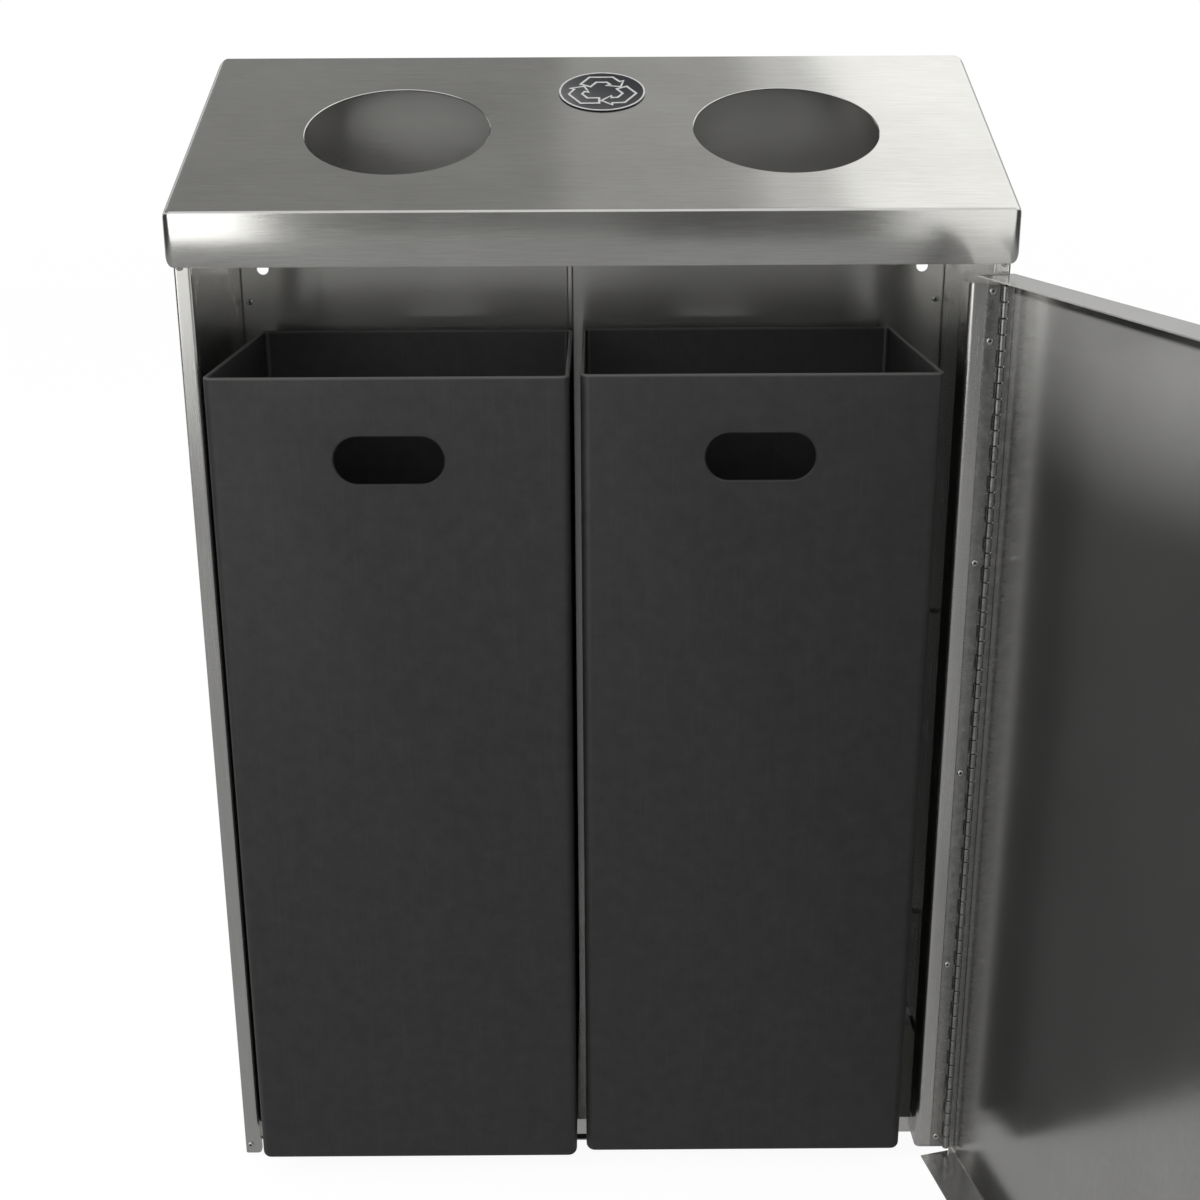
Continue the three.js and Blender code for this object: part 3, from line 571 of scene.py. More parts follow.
class Finishes:
    """Every finish of the bin, made once."""

    def __init__(self) -> None:
        """Makes all the materials."""
        self.lid = BrushedSteel("lid_brushed_across", Grain.ALONG_X).make()
        self.post = BrushedSteel(
            "post_brushed_up", Grain.ALONG_Z, (0.5, 0.495, 0.48), (0.66, 0.655, 0.64), (0.2, 0.3),
            smear=(1.0, 0.3, 0.0)).make()
        self.inside = BrushedSteel(
            "inside_rolled_sheet", Grain.ALONG_X, (0.6, 0.595, 0.58), (0.78, 0.77, 0.755), (0.17, 0.22),
            smear=(0.0, 0.3, 1.0), stretch=0.7, metal=0.9).make()
        self.door = BrushedSteel(
            "door_satin_sheet", Grain.CLOUDY, (0.44, 0.435, 0.425), (0.58, 0.575, 0.565), (0.15, 0.22),
            brush_depth=0.00005, wave_depth=0.0002, stretch=0.0, metal=0.9).make()
        self.hinge = BrightMetal("hinge_bright_steel", (0.36, 0.36, 0.35)).make()
        # The pin is near black as painted shade: it shows only through the gaps between the knuckles,
        # which lie in shade.
        self.pin = BrightMetal("pin_painted_shade_steel", (0.06, 0.06, 0.058), (0.3, 0.45)).make()
        self.rivet = BrightMetal("rivet_bright_steel", (0.6, 0.6, 0.58)).make()
        self.lock = BrightMetal("lock_nickel", (0.66, 0.65, 0.62), (0.1, 0.24)).make()
        self.liner = LinerPlastic("liner_charcoal", float(node_box("left_liner")[1][2])).make()
        self.rubber = PlainCoat("foot_black_rubber", (0.02, 0.02, 0.02), 0.75).make()
        self.enamel = PlainCoat("badge_black_enamel", (0.026, 0.028, 0.034), 0.38, 300.0, 0.00002).make()
        self.print = PlainCoat("badge_white_print", (0.93, 0.93, 0.92), 0.5, 300.0, 0.00002).make()
        # Near-black painted shade for the keyway plate and the rivets' pockets, where there is only
        # shade.
        self.shadow_gap = PlainCoat("gap_painted_shade", (0.008, 0.008, 0.008), 0.8).make()


# ------------------------------------------------------------------ placing pieces


def dress(obj: bpy.types.Object, material: bpy.types.Material) -> bpy.types.Object:
    """Gives a whole object one material.

    Args:
        obj: the piece.
        material: its finish.

    Returns:
        The same object.
    """
    obj.data.materials.clear()
    obj.data.materials.append(material)
    return obj


def seat(obj: bpy.types.Object, body: str, replaced: Sequence[str] = ()) -> None:
    """Makes a piece ride on a body and hides the nodes it stands for.

    Args:
        obj: the piece.
        body: the body it moves with.
        replaced: CAD nodes that it stands for.
    """
    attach(obj, body)
    if replaced:
        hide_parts(*replaced)
    LOG.info("%s rides on %s, %d faces", obj.name, body, len(obj.data.polygons))


def add_piece(name: str, skin: Skin, material: bpy.types.Material, body: str,
              replaced: Sequence[str] = ()) -> None:
    """Makes, dresses and seats a piece of one finish.

    Args:
        name: the piece's name.
        skin: its surface.
        material: its finish.
        body: the body it moves with.
        replaced: CAD nodes that it stands for.
    """
    seat(dress(make_object(name, skin), material), body, replaced)


def node_box(node: str) -> Corners:
    """Lowest and highest corner of a CAD node, as arrays."""
    low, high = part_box(node)
    return np.array(low, float), np.array(high, float)


def redress(node: str, material: bpy.types.Material) -> None:
    """Gives a CAD node its finish and leaves its shape alone.

    Args:
        node: the node's name.
        material: its finish.
    """
    obj = frame["nodes"][node]
    for material_slot in obj.material_slots:
        material_slot.material = material
    if not obj.material_slots:
        obj.data.materials.append(material)
    LOG.info("%s keeps its CAD shape", node)


# ------------------------------------------------------------------ lid


@dataclass
class Lid:
    """Folded lid: a sloped top, a skirt on all sides, two round throws and a badge."""

    slope: float = math.radians(24.2)
    skirt: float = 43 * MM
    sheet: float = 1.2 * MM
    side_fold: float = 8 * MM
    ridge_fold: float = 2.2 * MM
    corner_lift: float = 7 * MM
    hem: float = 9 * MM
    corner: float = 8 * MM
    thin_corner: float = 0.6 * MM
    throw_radius: float = 76.2 * MM
    throw_x: float = 160 * MM
    throw_up_slope: float = 134 * MM
    badge_radius: float = 37 * MM
    badge_x: float = 9 * MM
    badge_up_slope: float = 203 * MM
    low: np.ndarray = field(init=False)
    high: np.ndarray = field(init=False)
    ridge_z: float = field(init=False)

    def __post_init__(self) -> None:
        """Takes the lid's outer size from its node."""
        self.low, self.high = node_box("lid")
        self.ridge_z = float(self.low[2]) + self.skirt

    def frame_at(self, x: float, up_slope: float) -> Matrix:
        """Frame on the lid's outer face, with its own y up the slope and z out of the lid.

        Args:
            x: across the lid.
            up_slope: distance from the ridge.

        Returns:
            A 4x4 matrix.
        """
        c, s = math.cos(self.slope), math.sin(self.slope)
        normal = np.array([0, -s, c])
        at = np.array([x, self.low[1] + up_slope * c, self.ridge_z + up_slope * s])
        return on_axes((1, 0, 0), (0, c, s), normal, at)

    def ring(self, inset_side: float, inset_front: float, corner: float,
             drop_side: float, drop_front: float, lift: bool) -> np.ndarray:
        """One ring round the lid.

        In plan it is a rounded rectangle, moved in by inset_side at the sides and inset_front at
        front and back. Its height is that of the sloped face at its depth, less a drop that turns
        from drop_side to drop_front with the square of the outline's direction in each corner.

        Args:
            inset_side: from the sides.
            inset_front: from front and back.
            corner: corner radius in plan.
            drop_side: below the sloped face at the sides.
            drop_front: below it at front and back.
            lift: whether the skirt's rounded lower corners raise the ring.

        Returns:
            Array (points, 3).
        """
        half = (self.high - self.low) / 2
        middle = (self.high + self.low) / 2
        steps = 12
        plan = rounded_outline(half[0] - inset_side, half[1] - inset_front, corner, steps)
        turn = np.tile(np.radians(np.linspace(0, 90, steps + 1)), 4)
        facing_front = np.concatenate([np.cos(turn[:steps + 1]), np.sin(turn[:steps + 1])] * 2) ** 2
        drop = drop_side + (drop_front - drop_side) * facing_front
        x, y = plan[:, 0], plan[:, 1] + middle[1]
        z = self.ridge_z + (y - self.low[1]) * math.tan(self.slope) - drop
        if lift:
            r = self.corner_lift
            past = np.clip(np.abs(x) - (half[0] - r), 0, r)
            z = z + r - np.sqrt(np.maximum(r * r - past * past, 0))
        return np.column_stack([x, y, z])

    def shell(self) -> Skin:
        """Closed sheet: from the inner top down to the hem, round the rim and up over the outside.

        Each fold follows inset = r (1 - sin a) and drop = r (1 - cos a) from a = 90 to 0 degrees.

        Returns:
            The lid without its throws.
        """
        t, skirt = self.sheet, self.skirt

        def level(inset: float, drop: float) -> np.ndarray:
            """One ring of the skirt, as far in and as far down on every side."""
            return self.ring(inset, inset, self.corner - inset, drop, drop, True)

        def folded(inset: float, below: float) -> list[np.ndarray]:
            """Rings over the fold of one face.

            Args:
                inset: how far the face lies inside the lid's outer one.
                below: how far it lies below it.

            Returns:
                The rings, from the skirt to the sloped top.
            """
            side, front = self.side_fold - inset, self.ridge_fold - inset
            rings = []
            for a in np.radians(np.linspace(90, 0, 9)):
                across, down = 1 - math.sin(a), 1 - math.cos(a)
                corner = max(self.corner - inset - side * across, self.thin_corner)
                rings.append(self.ring(inset + side * across, inset + front * across, corner,
                                       below + side * down, below + front * down, False))
            return rings

        inner = [level(2 * t, skirt - 0.8 * MM), level(2 * t, skirt - self.hem),
                 level(t, skirt - self.hem - t)]
        inner += folded(t, t / math.cos(self.slope))
        rim = level(t, skirt)
        outer = [level(0.2 * MM, skirt - 0.6 * MM), level(0, skirt - 1.4 * MM)] + folded(0, 0)
        return loft(np.stack(inner[::-1] + [rim] + outer))

    def throw_cutter(self, x: float) -> Skin:
        """Cylinder square to the lid, flared by 0.5 mm at the face so that the edge is softened.

        Args:
            x: the throw's middle across the lid.

        Returns:
            The closed skin.
        """
        r, flare = self.throw_radius, 0.5 * MM
        profile = [(r, -12 * MM), (r, -flare), (r + 2 * flare, flare), (r + 2 * flare, 12 * MM)]
        return lathe(profile, 160).turned(self.frame_at(x, self.throw_up_slope))

    def badge_disc(self) -> Skin:
        """Turned disc with a shallow dish, a flat border and a rounded rim.

        Returns:
            The closed skin, 0.3 mm clear of the lid under it.
        """
        r = self.badge_radius
        profile = [
            (0.01 * MM, 0.3 * MM), (r - 0.4 * MM, 0.3 * MM), (r, 0.45 * MM), (r, 0.9 * MM),
            (r - 0.3 * MM, 1.1 * MM), (r - 1.9 * MM, 1.2 * MM), (r - 2.2 * MM, 1.0 * MM),
            (0.01 * MM, 1.0 * MM)]
        return lathe(profile, 96)

    def badge_ring(self) -> Skin:
        """Thin raised white ring round the badge.

        Returns:
            The closed skin.
        """
        r = self.badge_radius - 0.1 * MM
        profile = [(r - 1.8 * MM, 1.12 * MM), (r - 0.1 * MM, 1.12 * MM), (r - 0.2 * MM, 1.3 * MM),
                   (r - 0.9 * MM, 1.42 * MM), (r - 1.7 * MM, 1.3 * MM)]
        return lathe(profile, 96, closed=True)

    def arrow(self, turn: float) -> Skin:
        """One of three outlined arrows that chase each other round a triangle.

        Its middle line runs up one side, over a blunted corner and half down the next side. Each
        edge lies a set distance from it, mitred at the bends, and the head's barbs lie further out.

        Args:
            turn: how far the arrow is turned about the badge's middle, in degrees.

        Returns:
            A raised closed band.
        """
        half, barb = 5.0 * MM, 8.8 * MM
        line = np.array([[-14.2, 11.2], [-7.8, 22.4], [6.7, 22.4], [11.2, 15.8]]) * MM
        tip = np.array([[16.0, 8.4]]) * MM
        legs = np.diff(np.vstack([line, tip]), axis=0)
        legs /= np.linalg.norm(legs, axis=1)[:, None]
        left = np.stack([-legs[:, 1], legs[:, 0]], -1)
        before, after = np.vstack([left[:1], left[:-1]]), left
        mitre = (before + after) / (1 + (before * after).sum(1))[:, None]
        mitre[-1] = left[-1]
        outer, inner = line + mitre * half, line - mitre * half
        head = np.vstack([line[-1:] + left[-1:] * barb, tip, line[-1:] - left[-1:] * barb])
        path = np.vstack([outer, head, inner[::-1]])[::-1]
        c, s = math.cos(math.radians(turn)), math.sin(math.radians(turn))
        path = path @ np.array([[c, s], [-s, c]])
        return self.stroke(path, 1.9 * MM, 0.95 * MM, 1.25 * MM)

    @staticmethod
    def stroke(path: np.ndarray, width: float, low: float, high: float) -> Skin:
        """Raised line along a closed path: each section is a rectangle on the path's mitred normal.

        Args:
            path: corners, array (n, 2), counterclockwise.
            width: of the line.
            low: its underside.
            high: its top.

        Returns:
            The closed skin.
        """
        ahead = np.roll(path, -1, 0) - path
        ahead /= np.linalg.norm(ahead, axis=1)[:, None]
        behind = np.roll(ahead, 1, 0)
        normal = np.stack([-(ahead + behind)[:, 1], (ahead + behind)[:, 0]], -1)
        length = np.maximum(1 + (ahead * behind).sum(1), 0.5)[:, None]
        normal = normal / length * width / 2
        near, far = path - normal, path + normal
        sides = [(near, low), (far, low), (far, high), (near, high)]
        rings = np.stack([np.column_stack([p, np.full(len(p), z)]) for p, z in sides])
        return loft(rings, closed_profile=True)

    def build(self, finishes: Finishes) -> None:
        """Makes the lid and its badge.

        Args:
            finishes: the bin's finishes.
        """
        lid = make_object("lid_sheet", self.shell(), 30)
        cut_with(lid, [self.throw_cutter(-self.throw_x), self.throw_cutter(self.throw_x)], 30)
        seat(dress(lid, finishes.lid), "cabinet", ["lid"])
        place = self.frame_at(self.badge_x, self.badge_up_slope)
        add_piece("badge_disc", self.badge_disc().turned(place), finishes.enamel, "cabinet",
                  ["recycling_badge"])
        sign = self.badge_ring() + self.arrow(0) + self.arrow(120) + self.arrow(240)
        add_piece("badge_sign", sign.turned(place), finishes.print, "cabinet")


# ------------------------------------------------------------------ liners


@dataclass
class Liner:
    """One rigid plastic liner with rounded corners, a rolled rim and a hand hole."""

    node: str
    body: str
    wall: float = 3 * MM
    corner: float = 8 * MM
    base_round: float = 5 * MM
    inner_round: float = 4 * MM
    hand_half_width: float = 43.5 * MM
    hand_half_height: float = 19 * MM
    hand_below_rim: float = 66 * MM

    def shell(self, low: np.ndarray, high: np.ndarray) -> Skin:
        """Closed wall: rings up the outside, over the rounded rim and down the inside.

        The base's edges follow inset = r (1 - cos a), rise = r (1 - sin a), and the rim is a
        half circle as wide as the wall.

        Args:
            low: lowest corner of the liner's box.
            high: highest corner.

        Returns:
            The liner without its hand hole.
        """
        half, middle = (high - low) / 2, (high + low) / 2
        rings = []

        def ring(inset: float, z: float) -> None:
            """Adds the ring that lies inset from the liner's sides, at a height."""
            plan = rounded_outline(half[0] - inset, half[1] - inset, max(self.corner - inset, 1 * MM), 8)
            rings.append(np.column_stack([plan + middle[:2], np.full(len(plan), z)]))

        for a in np.radians(np.linspace(90, 0, 7)):
            ring(self.base_round * (1 - math.cos(a)), low[2] + self.base_round * (1 - math.sin(a)))
        top = high[2] - self.wall / 2
        for a in np.radians(np.linspace(0, 180, 9)):
            ring(self.wall / 2 * (1 - math.cos(a)), top + self.wall / 2 * math.sin(a))
        floor = low[2] + self.wall
        for a in np.radians(np.linspace(0, 90, 5)):
            ring(self.wall + self.inner_round * (1 - math.cos(a)),
                 floor + self.inner_round * (1 - math.sin(a)))
        return loft(np.stack(rings))

    def hand_cutter(self, low: np.ndarray, high: np.ndarray) -> Skin:
        """Obround bar along y, 1 mm larger at the outer face so that the hole's edge is softened.

        Args:
            low: lowest corner of the liner's box.
            high: highest corner.

        Returns:
            The closed skin.
        """
        x = (low[0] + high[0]) / 2
        z = high[2] - self.hand_below_rim
        face = low[1]
        flare = 1.0 * MM
        rings = []
        for y, extra in ((-6 * MM, flare), (0, flare), (flare, 0), (self.wall + 6 * MM, 0)):
            w, h = self.hand_half_width + extra, self.hand_half_height + extra
            plan = rounded_outline(w, h, h - 0.02 * MM, 14)
            rings.append(np.column_stack([plan[:, 0] + x, np.full(len(plan), face + y), plan[:, 1] + z]))
        return loft(np.stack(rings[::-1]))

    def build(self, finishes: Finishes) -> None:
        """Makes the liner.

        Args:
            finishes: the bin's finishes.
        """
        low, high = node_box(self.node)
        obj = make_object(f"{self.node}_shell", self.shell(low, high))
        cut_with(obj, [self.hand_cutter(low, high)])
        seat(dress(obj, finishes.liner), self.body, [self.node])


# ------------------------------------------------------------------ hinge, door and lock


@dataclass
class HingeLine:
    """The door's hinge axis and the frames on it."""

    x: float = field(init=False)
    y: float = field(init=False)
    open: float = field(init=False)

    def __post_init__(self) -> None:
        """Takes the axis, and how far the door stands open at rest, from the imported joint."""
        joint = next(j for j in frame["record"]["behaviour"]["joints"] if j["name"] == "door_hinge")
        self.x, self.y = joint["pos_m"][:2]
        self.open = -math.radians(joint["range_deg"][0])

    def fixed(self) -> Matrix:
        """Frame on the axis, along the cabinet's own axes."""
        return on_axes((1, 0, 0), (0, 1, 0), (0, 0, 1), (self.x, self.y, 0))

    def door(self) -> Matrix:
        """Frame on the axis that turns with the open door: its x lies along the closed door."""
        c, s = math.cos(self.open), math.sin(self.open)
        return on_axes((c, s, 0), (-s, c, 0), (0, 0, 1), (self.x, self.y, 0))


@dataclass
class PianoHinge:
    """Two leaves with alternate rolled knuckles on one pin, a dark tick between each two."""

    line: HingeLine
    pitch: float = 12.7 * MM
    count: int = 62
    radius: float = 3 * MM
    gap: float = 0.3 * MM
    tick: float = 0.9 * MM
    leaf: float = 1 * MM
    leaf_width: float = 13.5 * MM
    neck_end: float = 1 * MM
    door_leaf: float = 0.8 * MM
    door_leaf_width: float = 7.7 * MM
    door_neck_end: float = 2 * MM
    pin: float = 1.5 * MM

    def knuckles(self, first: int, low: float) -> Skin:
        """Every second knuckle: a rolled tube with chamfered ends, copied up the pin.

        Args:
            first: 0 for the cabinet's knuckles, 1 for the door's.
            low: height of the hinge's foot.

        Returns:
            The knuckles, as one skin.
        """
        r, bore, c = self.radius, self.pin + self.gap, 0.25 * MM
        h = self.pitch - self.tick
        profile = [(bore, 0), (r - c, 0), (r, c), (r, h - c), (r - c, h), (bore, h)]
        one = lathe(profile, 20, closed=True)
        skins = Skin(np.zeros((0, 3)))
        for k in range(first, self.count, 2):
            lift = np.array([0, 0, low + k * self.pitch + self.tick / 2])
            skins = skins + Skin(one.points + lift, one.faces)
        return skins

    def neck(self, first: int, low: float, outline: np.ndarray) -> Skin:
        """Strips that join each of a leaf's knuckles to its plate.

        Args:
            first: 0 for the cabinet's knuckles, 1 for the door's.
            low: height of the hinge's foot.
            outline: of one strip, seen from above.

        Returns:
            The strips, as one skin.
        """
        skins = Skin(np.zeros((0, 3)))
        for k in range(first, self.count, 2):
            base = low + k * self.pitch + self.tick / 2
            skins = skins + prism(outline, base, base + self.pitch - self.tick)
        return skins

    @staticmethod
    def plate(x0: float, x1: float, y0: float, y1: float) -> np.ndarray:
        """Outline of a thin plate with slightly rounded edges.

        Args:
            x0: its least x.
            x1: its greatest x.
            y0: its least y.
            y1: its greatest y.

        Returns:
            Array (points, 2).
        """
        r = 0.25 * MM
        outline = rounded_outline((x1 - x0) / 2, (y1 - y0) / 2, r, 3)
        return outline + np.array([(x0 + x1) / 2, (y0 + y1) / 2])

    def build(self, finishes: Finishes) -> None:
        """Makes both leaves and the pin.

        Args:
            finishes: the bin's finishes.
        """
        low, high = node_box("cabinet_hinge_leaf")
        z0, z1 = float(low[2]), float(high[2])
        r, t = self.radius, self.leaf
        fixed = prism(self.plate(-self.leaf_width, -r - self.gap, r - t, r), z0, z1)
        fixed = fixed + self.neck(0, z0, self.plate(-r - 2 * self.gap, -self.neck_end, r - t, r))
        fixed = (fixed + self.knuckles(0, z0)).turned(self.line.fixed())
        add_piece("hinge_leaf_fixed", fixed, finishes.hinge, "cabinet",
                  ["cabinet_hinge_leaf"])
        half = self.door_leaf / 2
        swing = prism(self.plate(-half, half, -self.door_leaf_width, -r - self.gap), z0, z1)
        thin = half - 0.1 * MM
        swing = swing + self.neck(1, z0, self.plate(-thin, thin, -r - 2 * self.gap, -self.door_neck_end))
        swing = (swing + self.knuckles(1, z0)).turned(self.line.door())
        add_piece("hinge_leaf_swinging", swing, finishes.hinge, "door", ["door_hinge_leaf"])
        p = self.pin
        profile = [(0.01 * MM, z0 + 0.3 * MM), (p - 0.3 * MM, z0 + 0.3 * MM), (p, z0 + 0.6 * MM),
                   (p, z1 - 0.6 * MM), (p - 0.3 * MM, z1 - 0.3 * MM), (0.01 * MM, z1 - 0.3 * MM)]
        pin = lathe(profile, 24).turned(self.line.fixed())
        add_piece("hinge_pin_rod", pin, finishes.pin, "cabinet", ["hinge_pin"])


@dataclass
class Jamb:
    """Hinge jamb: a folded channel with a generous inner bend."""

    sheet: float = 1.2 * MM
    bend: float = 3.5 * MM

    def build(self, finishes: Finishes) -> None:
        """Makes the channel from its node's box.

        Args:
            finishes: the bin's finishes.
        """
        low, high = node_box("hinge_jamb")
        path = np.array([[low[0], high[1]], [low[0], low[1]], [high[0], low[1]], [high[0], high[1]]])
        outline = folded_outline(path, self.sheet, [self.bend, self.bend], 8)
        channel = prism(outline, float(low[2]), float(high[2]))
        add_piece("hinge_jamb_channel", channel, finishes.post, "cabinet", ["hinge_jamb"])


@dataclass
class Door:
    """Folded door pan, made closed in the hinge's frame and carried to where it stands open."""

    line: HingeLine
    sheet: float = 1 * MM
    face: float = 9 * MM
    flange: float = 33 * MM
    bend: float = 1.2 * MM
    hinge_flange: float = 5.4 * MM
    latch_flange: float = 11.3 * MM
    hinge_edge: float = 1.7 * MM
    latch_edge: float = -646 * MM
    hinge_mitre: float = 3 * MM
    notch: float = 15.5 * MM
    lock_x: float = -605 * MM
    lock_z: float = 758 * MM
    lock_hole: float = 9.3 * MM

    def wrap(self, span: tuple[float, float], depth: float, mitre: float,
             bottom: float, top: float) -> Skin:
        """Face with a flange at its top and bottom: a C section carried along x.

        Past the hinge flange's lip, the section's hinge end is drawn in by mitre in proportion to
        its depth behind the lip.

        Args:
            span: from and to, along x.
            depth: of the flanges, from the face.
            mitre: how far the flanges' far corner at the hinge is drawn in.
            bottom: underside.
            top: upper side.

        Returns:
            The closed skin.
        """
        deep = depth - self.face
        path = np.array([[deep, top], [-self.face, top], [-self.face, bottom], [deep, bottom]])
        section = folded_outline(path, self.sheet, [self.bend, self.bend], 6)
        back, z = section[:, 0], section[:, 1]
        lip = -self.face + self.hinge_flange
        drawn = np.clip((back - lip) / (deep - lip), 0, 1) * mitre
        near = np.stack([span[1] - drawn, back, z], -1)
        far = np.stack([np.full(len(back), span[0]), back, z], -1)
        steps = np.linspace(0, 1, 3)[:, None, None]
        return loft(far + (near - far) * steps)

    def build(self, finishes: Finishes) -> None:
        """Makes the door's face and flanges.

        Args:
            finishes: the bin's finishes.
        """
        low, high = node_box("door_panel")
        bottom, top = float(low[2]), float(high[2])
        inside = self.latch_edge + self.notch
        pan = self.wrap((inside, self.hinge_edge), self.flange, self.hinge_mitre, bottom, top)
        obj = make_object("door_pan", pan.turned(self.line.door()))
        hole = lathe([(self.lock_hole, -4 * MM), (self.lock_hole, 4 * MM)], 48)
        middle = (self.lock_x, -self.face + self.sheet / 2, self.lock_z)
        across = on_axes((1, 0, 0), (0, 0, -1), (0, 1, 0), middle)
        cut_with(obj, [hole.turned(across).turned(self.line.door())])
        seat(dress(obj, finishes.door), "door", ["door_panel"])
        sides = self.upright(self.hinge_edge, self.hinge_flange, bottom, top, True)
        sides = sides + self.upright(self.latch_edge, self.latch_flange, bottom, top, False)
        sides = sides + self.wrap((self.latch_edge, inside), self.latch_flange, 0.0, bottom, top)
        sides = sides.turned(self.line.door())
        add_piece("door_side_flanges", sides, finishes.door, "door")

    def upright(self, edge: float, depth: float, bottom: float, top: float, at_hinge: bool) -> Skin:
        """Plate of a side flange, from just inside the face to its lip, rounded at the lip.

        Args:
            edge: the flange's outer face.
            depth: from the door's face to the lip.
            bottom: underside of the door.
            top: upper side of the door.
            at_hinge: whether it is the flange beside the hinge.

        Returns:
            The closed skin.
        """
        t = self.sheet
        x0, x1 = (edge - t, edge) if at_hinge else (edge, edge + t)
        y0, y1 = -self.face + t * 0.5, -self.face + depth
        outline = rounded_outline(t / 2, (y1 - y0) / 2, 0.45 * MM, 4)
        outline = outline + np.array([(x0 + x1) / 2, (y0 + y1) / 2])
        return prism(outline, bottom + t * 0.9, top - t * 0.9)


@dataclass
class Lock:
    """Cam lock near the door's free edge; its radii and heights are in millimetres."""

    line: HingeLine
    x: float = -605 * MM
    z: float = 758 * MM
    bore: float = 6.1
    barrel: float = 9.0
    head: float = 11.0
    face: float = -11.0
    barrel_end: float = 9.0
    threads: int = 14
    thread_start: float = -8.0
    thread_pitch: float = 1.2
    thread_depth: float = 0.4

    def place(self) -> Matrix:
        """Frame on the lock's axis, its own z pointing into the cabinet."""
        return self.line.door() @ on_axes((1, 0, 0), (0, 0, -1), (0, 1, 0), (self.x, 0, self.z))

    def build(self, finishes: Finishes) -> None:
        """Makes the housing, plug, keyway and screw, and gives the CAD nut and cam their finish.

        Args:
            finishes: the bin's finishes.
        """
        place, face, barrel, end = self.place(), self.face, self.barrel, self.barrel_end
        rim = 0.8
        behind = face + 1.7
        housing = [(self.bore, face), (self.head - rim, face), (self.head, face + rim),
                   (self.head, behind), (barrel, behind)]
        for k in range(self.threads):
            h = self.thread_start + k * self.thread_pitch
            housing += [(barrel, h), (barrel - self.thread_depth, h + self.thread_pitch / 2)]
        housing += [(barrel, end), (self.bore, end)]
        plug = [(0.01, -11.3), (5.0, -11.3), (5.8, -10.8), (5.8, 11.5), (0.01, 11.5)]
        screw = [(0.01, 14.1), (5, 14.1), (4.6, 15.6), (3.4, 16.3), (1.4, 16.3), (1.2, 15.3),
                 (0.01, 15.3)]
        shank = [(0.01, 7.1), (1.6, 7.4), (1.6, 14.2), (0.01, 14.2)]
        # The keyway is a thin near-black plate on the plug's face: painted shade standing in for the
        # slot's depth.
        keyway = prism(rounded_outline(0.7 * MM, 3.5 * MM, 0.5 * MM, 4), -11.42 * MM, -11.25 * MM)
        metal, slot = finishes.lock, "lock_plating"
        cam_screw = turned_mm(screw, place, 28) + turned_mm(shank, place, 16)
        add_piece("lock_barrel", turned_mm(housing, place, 40, True), metal, "door",
                  ["lock_housing"])
        add_piece("lock_core", turned_mm(plug, place, 40), metal, "lock", ["lock_plug"])
        add_piece("lock_keyway_shade_plate", keyway.turned(place), finishes.shadow_gap, "lock")
        add_piece("lock_screw_head", cam_screw, metal, "lock", ["lock_cam_screw"])
        redress("lock_nut", finishes.lock)
        redress("lock_cam", finishes.lock)


# ------------------------------------------------------------------ fasteners and feet


